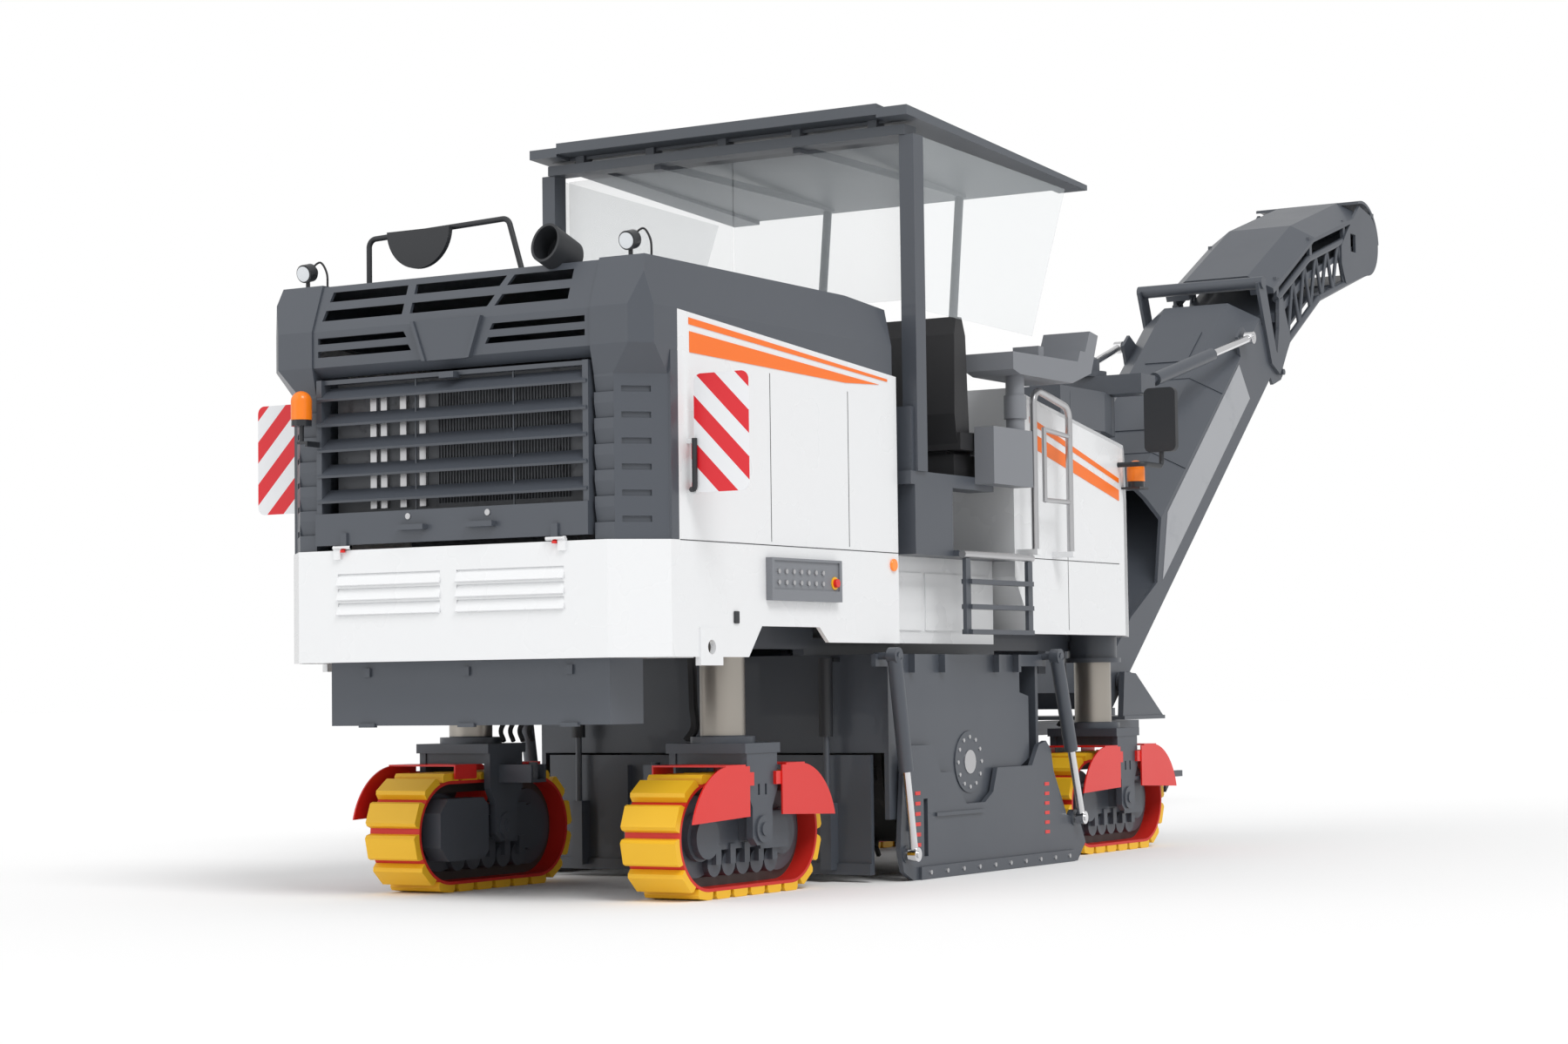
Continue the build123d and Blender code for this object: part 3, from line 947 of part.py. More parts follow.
with BuildPart() as conveyor_upper:
    # cover: a trapezoid hood that follows the bent top line
    (y0, z0), (y1, z1), (y2, z2) = from_pin(COVER_LINE)
    drop = 105
    band = ((y0, z0), (y1, z1), (y2, z2), (y2 + 28, z2 - 130), (y1 + 20, z1 - 128), (y0 + 62, z0 - 125))
    side_plate(band, (-UPPER_HALF, UPPER_HALF))
    for (ya, za), (yb, zb) in (((y0, z0), (y1, z1)), ((y1, z1), (y2, z2))):
        length = ((yb - ya) ** 2 + (zb - za) ** 2) ** 0.5
        run, rise = (yb - ya) / length, (zb - za) / length
        plane = Plane(origin=(0, ya - 60 * run, za - 60 * rise), x_dir=(-1, 0, 0), z_dir=(0, run, rise))
        for _, side in SIDES:
            wedge = ((side * COVER_HALF, 0), (side * (UPPER_HALF + 9), -drop - 3), (side * (UPPER_HALF + 9), 60), (side * COVER_HALF, 60))
            outline_on(plane, wedge, length + 120, Mode.SUBTRACT)
    hollow_band = (
        (y0 - 40, z0 - 50), (y1 + 3, z1 - 26), (y2 + 60, z2 - 10), (y2 + 60, z2 - 160), (y1 + 20, z1 - 160), (y0 - 40, z0 - 220),
    )
    side_plate(hollow_band, (-COVER_HALF + 5, COVER_HALF - 5), Mode.SUBTRACT)
    # carrying belt and its bed between the chords, and the returning belt below
    bed = from_pin(((40, 400), (650, 750), (1700, 1090), (1700, 1060), (660, 700), (60, 350)))
    side_plate(bed, (-362, 362))
    returning = from_pin(((110, 165), (840, 610), (1700, 860), (1700, 845), (845, 590), (115, 145)))
    side_plate(returning, (-300, 300))
    # open truss sides
    for _, side in SIDES:
        x = side * (UPPER_HALF - 25)
        for line, radius in ((UPPER_CHORD, 24), (LOWER_CHORD, 24)):
            for start, end in zip(from_pin(line), from_pin(line[1:])):
                bar((x, *start), (x, *end), radius)
        for place in range(6):
            low, high = 150 + place * 215, 257 + place * 215
            for top_y in (low, high + 107):
                foot_end = from_pin(((high, line_point(LOWER_CHORD, high)),))[0]
                top_end = from_pin(((top_y, line_point(UPPER_CHORD, min(top_y, 1380))),))[0]
                bar((x, *foot_end), (x, *top_end), 13)
        for y in (70, 690, 1340):
            ladder_ends = from_pin(((y, line_point(UPPER_CHORD, y)), (y, line_point(COVER_LINE, y) - 118)))
            slab((x - 12, x + 12), (ladder_ends[0][0] - 20, ladder_ends[0][0] + 20), (ladder_ends[0][1], ladder_ends[1][1] + 25))
    for y in (110, 840, 1250):
        z = line_point(LOWER_CHORD, y)
        disc((-UPPER_HALF + 20, UPPER_HALF - 20), *from_pin(((y, z - 2),))[0], 22)
    # head: round cover, pulley and two cheeks
    head_y, head_z = from_pin(((1690, 1080),))[0]
    disc((-340, 340), head_y, head_z, 130)
    for _, side in SIDES:
        with BuildSketch(Plane.YZ.offset(min(side * (UPPER_HALF - 20), side * UPPER_HALF))) as cheek:
            with BuildLine():
                Polyline(*from_pin(((1380, 1140), (1250, 1010), (1250, 880), (1330, 745), (1760, 850))))
                ThreePointArc(*from_pin(((1760, 850), (1985, 1090), (1830, 1300))))
                Polyline(*from_pin(((1830, 1300), (1620, 1340), (1380, 1140))))
            make_face()
        extrude(cheek.sketch, amount=20)
        slab(
            (side * (UPPER_HALF - 30), side * (UPPER_HALF + 10)), (head_y - 260, head_y - 160), (head_z - 90, head_z + 40),
            Mode.SUBTRACT,
        )
    with BuildSketch(Plane.YZ.offset(-UPPER_HALF)) as hood_line:
        with BuildLine():
            ThreePointArc(*from_pin(((1600, 1374), (1880, 1320), (2000, 1100))))
            Line(*from_pin(((2000, 1100), (1980, 1100))))
            ThreePointArc(*from_pin(((1980, 1100), (1866, 1304), (1600, 1354))))
            Line(*from_pin(((1600, 1354), (1600, 1374))))
        make_face()
    extrude(hood_line.sketch, amount=2 * UPPER_HALF)
    # hinge ears and pins of the fold
    ears = from_pin(((-40, 30), (0, -45), (50, -30), (190, 160), (260, 245), (120, 520), (60, 500), (50, 300), (10, 130)))
    mirrored_plate(ears, (UPPER_HALF - 25, UPPER_HALF))
    for _, side in SIDES:
        disc((side * (UPPER_HALF - 25), side * (CONVEYOR_HALF + 26)), *FOLD_PIN, 20)
        lamp_y, lamp_z = from_pin(((1880, 1290),))[0]
        slab((side * 330, side * 394), (lamp_y - 30, lamp_y + 30), (lamp_z, lamp_z + 30))

for word, side in SIDES:
    x_low, x_high = side * LUFF_X[0], side * LUFF_X[1]

    def luff_point(share):
        """The point at a share of the way from the cylinder's lower eye to its upper eye."""
        return (x_low + (x_high - x_low) * share, *jack_points(LUFF_LOWER, LUFF_UPPER, share))

    with BuildPart() as luff_barrel:
        disc((x_low - 25, x_low + 25), *LUFF_LOWER, 45)
        bar(luff_point(0), luff_point(0.11), 20)
        bar(luff_point(0.09), luff_point(0.62), 42)
        bar(luff_point(0.14), luff_point(0.63), 25 + RUNNING, Mode.SUBTRACT)
        disc((x_low - 40, x_low + 60), *LUFF_LOWER, 18, Mode.SUBTRACT)
    save(luff_barrel, f"luff_barrel_{word}")
    with BuildPart() as luff_rod:
        bar(luff_point(0.34), luff_point(1), 25)
        disc((x_high - 28, x_high + 28), *LUFF_UPPER, 40)
        disc((side * (CONVEYOR_HALF + 21), side * (LUFF_X[1] + 34)), *LUFF_UPPER, 18)
    save(luff_rod, f"luff_rod_{word}")

save(frame, "frame")
save(rear_body, "rear_body")
save(hood, "hood")
save(side_panels, "side_panels")
save(rear_door, "rear_door")
save(rear_beacon, "rear_beacon")
save(engine, "engine")
save(rear_box, "rear_box")
save(exhaust, "exhaust")
save(front_body, "front_body")
save(mast, "mast")
save(drum_housing, "drum_housing")
save(drum, "drum")
save(inner_conveyor, "inner_conveyor")
save(scraper, "scraper")
save(scraper_jacks, "scraper_jacks")
save(platform, "platform")
save(seats, "seats")
save(consoles, "consoles")
save(rails, "rails")
save(roof, "roof")
save(roof_posts, "roof_posts")
save(windows, "windows")
save(lamps, "lamps")
save(mirrors, "mirrors")
save(slew_fork, "slew_fork")
save(slew_head, "slew_head")
save(conveyor_lower, "conveyor_lower")
save(conveyor_upper, "conveyor_upper")
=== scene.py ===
"""Finishes, fittings, light and camera of a cold planer milling machine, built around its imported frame.

Lengths are in metres in the frame's axes: +Z up, +Y the way it drives, +X its right side. Places along
the machine are written from the rear face of its hood, and station() moves them to the frame.
"""

import logging
import math
from dataclasses import dataclass, field
from typing import Callable, Iterable, Optional, Sequence, Union

import bmesh
import bpy
from mathutils import Matrix, Vector


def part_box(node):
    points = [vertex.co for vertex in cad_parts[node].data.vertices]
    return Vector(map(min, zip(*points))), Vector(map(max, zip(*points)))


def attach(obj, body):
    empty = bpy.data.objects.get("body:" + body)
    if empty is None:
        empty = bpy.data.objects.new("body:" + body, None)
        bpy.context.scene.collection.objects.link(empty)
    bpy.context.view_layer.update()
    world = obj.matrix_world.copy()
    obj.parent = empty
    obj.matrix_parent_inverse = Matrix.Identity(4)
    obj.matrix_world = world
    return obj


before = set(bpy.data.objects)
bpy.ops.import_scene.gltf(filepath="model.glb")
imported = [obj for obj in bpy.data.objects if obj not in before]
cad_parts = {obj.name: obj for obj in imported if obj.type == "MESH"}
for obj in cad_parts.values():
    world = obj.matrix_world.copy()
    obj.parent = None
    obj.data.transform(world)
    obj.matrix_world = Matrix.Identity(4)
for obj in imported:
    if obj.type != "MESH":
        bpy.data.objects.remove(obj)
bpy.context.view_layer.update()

RIDGE_RISE = 0.014  # how far the badge's ridges stand behind the hood's rear face
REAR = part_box("hood")[0].y + RIDGE_RISE
SIDES = (("right", 1), ("left", -1))
LEGS = ("rear_right", "rear_left", "front_right", "front_left")
log = logging.getLogger("planer")

Number = Union[float, int]
Point = Sequence[float]


def station(x: float, y: float, z: float) -> Vector:
    """Turns a place measured from the hood's rear face into a place in the frame.

    Args:
        x: Distance from the middle, to the right.
        y: Distance forward of the hood's rear face.
        z: Height above the ground.

    Returns:
        The point in the frame.
    """
    return Vector((x, y + REAR, z))


# ---------------------------------------------------------------- shader maths
class Wire:
    """A node socket, or a number, that takes part in shader maths."""

    def __init__(self, tree: bpy.types.NodeTree, socket: bpy.types.NodeSocket) -> None:
        """Keeps the tree and the socket."""
        self.tree = tree
        self.socket = socket

    def _math(self, operation: str, *values: Union["Wire", Number]) -> "Wire":
        """Adds one Math node.

        Args:
            operation: The node's operation.
            values: What goes into its sockets, in order.

        Returns:
            The node's result.
        """
        node = self.tree.nodes.new("ShaderNodeMath")
        node.operation = operation
        for place, value in enumerate(values):
            if isinstance(value, Wire):
                self.tree.links.new(value.socket, node.inputs[place])
            else:
                node.inputs[place].default_value = value
        return Wire(self.tree, node.outputs[0])

    def __add__(self, other: Union["Wire", Number]) -> "Wire":
        """Adds."""
        return self._math("ADD", self, other)

    __radd__ = __add__

    def __sub__(self, other: Union["Wire", Number]) -> "Wire":
        """Takes away."""
        return self._math("SUBTRACT", self, other)

    def __rsub__(self, other: Number) -> "Wire":
        """Is taken away from a number."""
        return self._math("SUBTRACT", other, self)

    def __mul__(self, other: Union["Wire", Number]) -> "Wire":
        """Multiplies."""
        return self._math("MULTIPLY", self, other)

    __rmul__ = __mul__

    def __gt__(self, other: Union["Wire", Number]) -> "Wire":
        """Is 1 where it is greater."""
        return self._math("GREATER_THAN", self, other)

    def greatest(self, other: Union["Wire", Number]) -> "Wire":
        """Returns the greater of the two."""
        return self._math("MAXIMUM", self, other)

    def power(self, exponent: Number) -> "Wire":
        """Raises it to a power."""
        return self._math("POWER", self, exponent)

    def size(self) -> "Wire":
        """Returns it without its sign."""
        return self._math("ABSOLUTE", self)

    def fraction(self) -> "Wire":
        """Returns what is left over the whole number."""
        return self._math("FRACT", self)

    def clamped(self) -> "Wire":
        """Returns it kept between 0 and 1."""
        result = self._math("ADD", self, 0.0)
        result.socket.node.use_clamp = True
        return result


class Recipe:
    """Builds one material's node tree."""

    def __init__(self, name: str) -> None:
        """Makes an empty material with its shader and output."""
        self.material = bpy.data.materials.new(name)
        self.material.use_nodes = True
        self.tree = self.material.node_tree
        self.tree.nodes.clear()
        self.shader = self.tree.nodes.new("ShaderNodeBsdfPrincipled")
        output = self.tree.nodes.new("ShaderNodeOutputMaterial")
        self.tree.links.new(self.shader.outputs[0], output.inputs["Surface"])

    def node(self, kind: str, settings: Optional[dict] = None, **values: object) -> bpy.types.Node:
        """Adds any node.

        Args:
            kind: The node's type.
            settings: Its attributes, which are set first.
            values: What its sockets get, by name with underscores for spaces.

        Returns:
            The new node.
        """
        node = self.tree.nodes.new(kind)
        for key, value in (settings or {}).items():
            setattr(node, key, value)
        for key, value in values.items():
            socket = node.inputs[key.replace("_", " ")]
            if isinstance(value, Wire):
                self.tree.links.new(value.socket, socket)
            else:
                socket.default_value = value
        return node

    def place(self) -> bpy.types.Node:
        """Returns the texture coordinates."""
        return self.node("ShaderNodeTexCoord")

    def axis(self, index: int) -> Wire:
        """Returns one coordinate of a point on the piece, in metres in the frame."""
        split = self.node("ShaderNodeSeparateXYZ")
        self.tree.links.new(self.place().outputs["Object"], split.inputs[0])
        return Wire(self.tree, split.outputs[index])

    def noise(self, scale: float, detail: float = 3.0, rough: float = 0.5) -> Wire:
        """Returns noise between 0 and 1 over the piece.

        Args:
            scale: Its grains a metre.
            detail: Its octaves.
            rough: How strong the fine octaves are.

        Returns:
            The noise.
        """
        texture = self.node("ShaderNodeTexNoise", None, Scale=scale, Detail=detail, Roughness=rough)
        self.tree.links.new(self.place().outputs["Object"], texture.inputs["Vector"])
        return Wire(self.tree, texture.outputs[0])

    def mix(self, mask: Wire, low: Point, high: Point) -> Wire:
        """Mixes two colours by a mask.

        Args:
            mask: 0 for the first colour and 1 for the second.
            low: The first colour.
            high: The second colour.

        Returns:
            The mixed colour.
        """
        node = self.node("ShaderNodeMix", {"data_type": "RGBA"})
        self.tree.links.new(mask.socket, node.inputs[0])
        node.inputs[6].default_value = (*low, 1.0)
        node.inputs[7].default_value = (*high, 1.0)
        return Wire(self.tree, node.outputs[2])

    def set(self, name: str, value: object) -> None:
        """Gives one of the shader's sockets a value or a wire."""
        socket = self.shader.inputs[name]
        if isinstance(value, Wire):
            self.tree.links.new(value.socket, socket)
        else:
            socket.default_value = value

    def bump(self, height: Wire, strength: float, distance: float) -> None:
        """Presses a height into the surface."""
        node = self.node("ShaderNodeBump", None, Strength=strength, Distance=distance, Height=height)
        self.tree.links.new(node.outputs[0], self.shader.inputs["Normal"])


@dataclass(frozen=True)
class Finish:
    """A plain finish: one colour with a little unevenness in its gloss.

    Attributes:
        name: The material's name.
        slot: The record's material slot; not used.
        colour: Linear base colour.
        rough: Mean roughness.
        metal: Metallic share.
        coat: Weight of the clear coat.
        uneven: How far roughness strays from its mean.
        grain: Bumps a metre, or 0 for a smooth surface.
        press: Strength of the bumps.
        alpha: Opacity.
        glow: Strength of its own light.
    """

    name: str
    slot: str
    colour: tuple[float, float, float]
    rough: float = 0.45
    metal: float = 0.0
    coat: float = 0.0
    uneven: float = 0.06
    grain: float = 0.0
    press: float = 0.15
    alpha: float = 1.0
    glow: float = 0.0

    def material(self) -> bpy.types.Material:
        """Returns the finish's material, made once."""
        known = bpy.data.materials.get(self.name)
        if known:
            return known
        recipe = Recipe(self.name)
        self.colour_in(recipe)
        recipe.set("Metallic", self.metal)
        recipe.set("Coat Weight", self.coat)
        recipe.set("Alpha", self.alpha)
        if self.uneven:
            recipe.set("Roughness", (recipe.noise(2.5) - 0.5) * (2 * self.uneven) + self.rough)
        else:
            recipe.set("Roughness", self.rough)
        if self.grain:
            recipe.bump(recipe.noise(self.grain, 4.0), self.press, 0.002)
        if self.glow:
            recipe.set("Emission Color", (*self.colour, 1.0))
            recipe.set("Emission Strength", self.glow)
        return recipe.material

    def colour_in(self, recipe: Recipe) -> None:
        """Sets the base colour."""
        recipe.set("Base Color", (*self.colour, 1.0))


@dataclass(frozen=True)
class Worn(Finish):
    """A finish with a second colour rubbed or stained into it in patches.

    Attributes:
        second: The stain's colour.
        patch: Stains a metre.
        share: Height of the noise at which the stain starts.
    """

    second: tuple[float, float, float] = (0.1, 0.1, 0.1)
    patch: float = 6.0
    share: float = 0.55

    def colour_in(self, recipe: Recipe) -> None:
        """Mixes the stain into the base colour."""
        mask = ((recipe.noise(self.patch, 6.0, 0.65) - self.share) * 5.0).clamped()
        recipe.set("Base Color", recipe.mix(mask, self.colour, self.second))


@dataclass(frozen=True)
class Striped(Finish):
    """Slanting stripes of two colours across a board that faces along the machine.

    Attributes:
        second: Colour of the other stripes.
        period: Width of one pair of stripes along the slant.
        lean: 1 where the stripes fall to the right, and -1 where they fall to the left.
    """

    second: tuple[float, float, float] = (0.8, 0.8, 0.8)
    period: float = 0.2
    lean: int = 1

    def colour_in(self, recipe: Recipe) -> None:
        """Cuts the board into stripes."""
        slant = (recipe.axis(0) * self.lean + recipe.axis(2)) * (1 / self.period)
        recipe.set("Base Color", recipe.mix(slant.fraction() > 0.5, self.colour, self.second))


@dataclass(frozen=True)
class Banded(Finish):
    """A finish that changes to another one between two heights.

    Attributes:
        second: The other finish.
        low: Height where the other finish starts, in metres.
        high: Height where it ends.
    """

    second: Optional[Finish] = None
    low: float = 0.0
    high: float = 9.0

    def colour_in(self, recipe: Recipe) -> None:
        """Mixes the colours, and the metal shares, by height."""
        height = recipe.axis(2)
        mask = (height > self.low) * (1 - (height > self.high))
        recipe.set("Base Color", recipe.mix(mask, self.colour, self.second.colour))
        self.metal_in(recipe, mask)

    def metal_in(self, recipe: Recipe, mask: Wire) -> None:
        """Mixes the metal shares."""
        recipe.set("Metallic", mask * (self.second.metal - self.metal) + self.metal)


@dataclass(frozen=True)
class Layered(Finish):
    """A track: pads outside, shoes under them and a chain inside, by the distance from its wheels' line.

    Attributes:
        middle: Distance of the track's middle from the hood's rear face.
        shoe: Colour of the shoes.
        chain: Colour of the chain.
        reach: Distance from the middle to the centre of each end.
        axle: Height of the wheels' line.
        pad_foot: Distance from that line where the pads start.
        shoe_foot: Distance from that line where the shoes start.
    """

    middle: float = 0.0
    shoe: tuple[float, float, float] = (0.62, 0.02, 0.012)
    chain: tuple[float, float, float] = (0.06, 0.05, 0.045)
    reach: float = 0.347
    axle: float = 0.278
    pad_foot: float = 0.243
    shoe_foot: float = 0.227

    def colour_in(self, recipe: Recipe) -> None:
        """Colours the layers."""
        along = ((recipe.axis(1) - (self.middle + REAR)).size() - self.reach).greatest(0.0)
        rise = recipe.axis(2) - self.axle
        distance = (along * along + rise * rise).power(0.5)
        inner = recipe.mix(distance > self.shoe_foot, self.chain, self.shoe)
        node = recipe.node("ShaderNodeMix", {"data_type": "RGBA"})
        recipe.tree.links.new((distance > self.pad_foot).socket, node.inputs[0])
        recipe.tree.links.new(inner.socket, node.inputs[6])
        node.inputs[7].default_value = (*self.colour, 1.0)
        recipe.set("Base Color", Wire(recipe.tree, node.outputs[2]))


ANTHRACITE = Finish("anthracite_paint", "anthracite", (0.066, 0.075, 0.091), 0.42, coat=0.15)
WHITE = Finish("white_paint", "white", (0.80, 0.81, 0.82), 0.28, coat=0.4)
ORANGE = Finish("orange_stripe", "amber", (0.92, 0.17, 0.005), 0.35)
RED = Finish("red_paint", "board", (0.72, 0.015, 0.01), 0.38, coat=0.2)
PAD = Worn("yellow_pads", "pads", (0.88, 0.50, 0.015), 0.5, second=(0.72, 0.36, 0.02), patch=14.0)
COLUMN = Worn(
    "column_steel", "steel", (0.40, 0.37, 0.33), 0.32, metal=0.85,
    second=(0.22, 0.19, 0.16), patch=5.0, share=0.5,
)
DARK = Finish("black_steel", "dark", (0.022, 0.024, 0.028), 0.5)
RUBBER = Finish("black_rubber", "dark", (0.018, 0.018, 0.02), 0.6, grain=120.0)
CHROME = Finish("chrome_rod", "chrome", (0.72, 0.72, 0.73), 0.12, metal=1.0, uneven=0.02)
ZINC = Finish("zinc_steel", "steel", (0.52, 0.52, 0.53), 0.33, metal=0.9)
ENGINE = Worn(
    "engine_iron", "engine", (0.10, 0.105, 0.115), 0.55, metal=0.2, second=(0.03, 0.03, 0.035), patch=9.0,
)
GLASS = Finish("clear_glass", "glass", (0.75, 0.80, 0.82), 0.03, uneven=0.0, alpha=0.16)
SEAT = Finish("black_vinyl", "seatblack", (0.02, 0.02, 0.022), 0.55, grain=300.0, press=0.2)
ROOF = Finish("grey_roof", "roofpanel", (0.085, 0.095, 0.11), 0.5)
DRUM = Worn(
    "drum_steel", "drumsteel", (0.16, 0.155, 0.15), 0.6, metal=0.4, second=(0.28, 0.26, 0.24), patch=20.0,
)
AMBER = Finish("amber_lens", "amber", (0.95, 0.22, 0.01), 0.15, coat=0.6, glow=0.25)
LENS = Finish("clear_lens", "lamp", (0.72, 0.75, 0.78), 0.08, coat=0.6)
PANEL = Finish("panel_grey", "dark", (0.20, 0.21, 0.23), 0.5)
TARPAULIN = Worn(
    "grey_tarpaulin", "roofpanel", (0.36, 0.37, 0.39), 0.55, second=(0.28, 0.29, 0.31), patch=3.0, grain=60.0,
)
STRIPE_RED, STRIPE_WHITE = (0.72, 0.01, 0.02), (0.82, 0.83, 0.85)
BOARD_RIGHT = Striped("warning_stripes_right", "board", STRIPE_RED, 0.35, second=STRIPE_WHITE, lean=1)
BOARD_LEFT = Striped("warning_stripes_left", "board", STRIPE_RED, 0.35, second=STRIPE_WHITE, lean=-1)

BEACON = Banded("beacon", "amber", DARK.colour, 0.2, second=AMBER, low=2.178)
LAMPS = Banded("lamps_paint", "lamp", DARK.colour, 0.3, second=AMBER, low=2.06, high=2.5)
LEG = Banded("leg_paint", "steel", ANTHRACITE.colour, 0.38, second=COLUMN, low=0.725)
REAR_AXLE, FRONT_AXLE = 1.107, 5.010  # middles of the tracks, from the hood's rear face
REAR_TRACK = Layered("rear_track", "pads", PAD.colour, 0.5, middle=REAR_AXLE)
FRONT_TRACK = Layered("front_track", "pads", PAD.colour, 0.5, middle=FRONT_AXLE)

NODE_FINISHES = {
    WHITE: ("rear_body", "side_panels", "front_body"),
    DARK: ("exhaust", "mirrors", "scraper_jacks"),
    ZINC: ("rails",),
    LAMPS: ("lamps",),
    BEACON: ("rear_beacon",),
    LEG: tuple(f"leg_{leg}" for leg in LEGS),
    SEAT: ("seats",),
    PANEL: ("consoles",),
    ENGINE: ("engine",),
    GLASS: ("windows",),
    ROOF: ("roof",),
    DRUM: ("drum",),
    REAR_TRACK: tuple(f"track_{leg}" for leg in LEGS[:2]),
    FRONT_TRACK: tuple(f"track_{leg}" for leg in LEGS[2:]),
    ANTHRACITE: (
        "frame", "hood", "rear_door", "rear_box", "mast", "drum_housing", "platform", "slew_fork",
        "slew_head", "conveyor_lower", "conveyor_upper", "roof_posts", "scraper", "side_plate_right",
        "side_plate_left", "inner_conveyor", "ladder_right", "ladder_left",
    ),
    RED: tuple(f"fenders_{leg}" for leg in LEGS),
    BOARD_RIGHT: ("warning_board_right",),
    BOARD_LEFT: ("warning_board_left",),
}


# ---------------------------------------------------------------- meshes
class Shape:
    """Collects solids into one mesh, in the frame's metres."""

    def __init__(self) -> None:
        """Starts empty."""
        self.mesh = bmesh.new()

    def _skin(self, rings: list[list[Vector]]) -> None:
        """Joins rings of points with faces, and caps both ends.

        Args:
            rings: Rings of equal length, in order.
        """
        rows = [[self.mesh.verts.new(p) for p in ring] for ring in rings]
        for one, two in zip(rows, rows[1:]):
            for i in range(len(one)):
                j = (i + 1) % len(one)
                self.mesh.faces.new((one[i], one[j], two[j], two[i]))
        self.mesh.faces.new(rows[0][::-1])
        self.mesh.faces.new(rows[-1])

    def block(self, low: Point, high: Point) -> "Shape":
        """Adds a box between two corners, and returns the shape."""
        ring = ((0, 0), (1, 0), (1, 1), (0, 1))
        ends = (low, high)
        self._skin([[Vector((ends[i][0], ends[j][1], ends[k][2])) for i, j in ring] for k in (0, 1)])
        return self

    def prism(self, outline: Iterable[Point], place: Callable[[float, float, float], Vector], low: float,
              high: float) -> "Shape":
        """Adds a prism.

        Args:
            outline: Its outline as pairs of numbers.
            place: Turns a pair and a depth into a point.
            low: Depth of one end.
            high: Depth of the other end.

        Returns:
            The shape.
        """
        points = list(outline)
        self._skin([[place(a, b, depth) for a, b in points] for depth in (low, high)])
        return self

    def rod(self, start: Point, end: Point, radius: float, sides: int = 20) -> "Shape":
        """Adds a round bar.

        Args:
            start: Middle of one end.
            end: Middle of the other end.
            radius: Its radius.
            sides: Faces around it.

        Returns:
            The shape.
        """
        a, b = Vector(start), Vector(end)
        turn = (b - a).to_track_quat("Z", "Y")
        self._skin([
            [middle + turn @ Vector((radius * math.cos(t), radius * math.sin(t), 0.0))
             for t in (2 * math.pi * i / sides for i in range(sides))]
            for middle in (a, b)
        ])
        return self

    def hose(self, points: Sequence[Point], radius: float, sides: int = 10, steps: int = 6) -> "Shape":
        """Adds a bent round tube that passes smoothly through its points.

        Args:
            points: The points of its route.
            radius: Its radius.
            sides: Faces around it.
            steps: Rings between two points.

        Returns:
            The shape.
        """
        route = [Vector(p) for p in points]
        route = [2 * route[0] - route[1], *route, 2 * route[-1] - route[-2]]
        line = []
        for a, b, c, d in zip(route, route[1:], route[2:], route[3:]):
            for i in range(steps):
                t = i / steps
                line.append(0.5 * (2 * b + (c - a) * t + (2 * a - 5 * b + 4 * c - d) * t * t
                                   + (3 * b - a - 3 * c + d) * t ** 3))
        line.append(route[-2])
        return self._along(line, radius, sides)

    def pipe(self, points: Sequence[Point], radius: float, bend: float, sides: int = 12) -> "Shape":
        """Adds a round tube of straight runs with rounded corners.

        Args:
            points: Its corners and ends.
            radius: Its radius.
            bend: Radius of its corners.
            sides: Faces around it.

        Returns:
            The shape.
        """
        route = [Vector(p) for p in points]
        line = [route[0]]
        for a, b, c in zip(route, route[1:], route[2:]):
            back, ahead = (a - b).normalized(), (c - b).normalized()
            cut = bend / math.tan(max(back.angle(ahead), 0.2) / 2)
            cut = min(cut, 0.48 * (a - b).length, 0.48 * (c - b).length)
            one, two = b + back * cut, b + ahead * cut
            line += [one.lerp(b, t).lerp(b.lerp(two, t), t) for t in (0.0, 0.25, 0.5, 0.75, 1.0)]
        line.append(route[-1])
        return self._along(line, radius, sides)

    def _along(self, line: list[Vector], radius: float, sides: int) -> "Shape":
        """Sweeps a circle along a line.

        Args:
            line: Points of the line.
            radius: The circle's radius.
            sides: Faces around it.

        Returns:
            The shape.
        """
        side = (line[1] - line[0]).orthogonal().normalized()
        rings = []
        for i, point in enumerate(line):
            ahead = line[min(i + 1, len(line) - 1)] - line[max(i - 1, 0)]
            ahead.normalize()
            side = (side - ahead * side.dot(ahead)).normalized()
            other = ahead.cross(side)
            rings.append([
                point + radius * (math.cos(t) * side + math.sin(t) * other)
                for t in (2 * math.pi * j / sides for j in range(sides))
            ])
        self._skin(rings)
        return self

    def piece(self, name: str, finish: Finish, body: str, bevel: float = 0.0,
              smooth: bool = True) -> bpy.types.Object:
        """Makes the finished object.

        Args:
            name: The piece's name.
            finish: Its finish.
            body: The body that it rides on.
            bevel: Width of its rounded edges.
            smooth: Whether its curved faces are shaded smooth.

        Returns:
            The object.
        """
        bmesh.ops.recalc_face_normals(self.mesh, faces=self.mesh.faces)
        data = bpy.data.meshes.new(name)
        self.mesh.to_mesh(data)
        self.mesh.free()
        obj = bpy.data.objects.new(name, data)
        bpy.context.scene.collection.objects.link(obj)
        data.materials.append(finish.material())
        soften(obj, bevel, smooth)
        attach(obj, body)
        log.info("%s: %d faces on %s", name, len(data.polygons), body)
        return obj


def soften(obj: bpy.types.Object, bevel: float, smooth: bool = True) -> None:
    """Rounds an object's sharp edges and shades its curves smooth.

    Args:
        obj: The object.
        bevel: Width of the rounding, or 0 for none.
        smooth: Whether curved faces are shaded smooth.
    """
    if smooth:
        for face in obj.data.polygons:
            face.use_smooth = True
        obj.data.set_sharp_from_angle(angle=math.radians(32))
    if bevel:
        modifier = obj.modifiers.new("rounded_edges", "BEVEL")
        modifier.width = bevel
        modifier.segments = 2
        modifier.limit_method = "ANGLE"
        modifier.angle_limit = math.radians(40)
        modifier.use_clamp_overlap = True


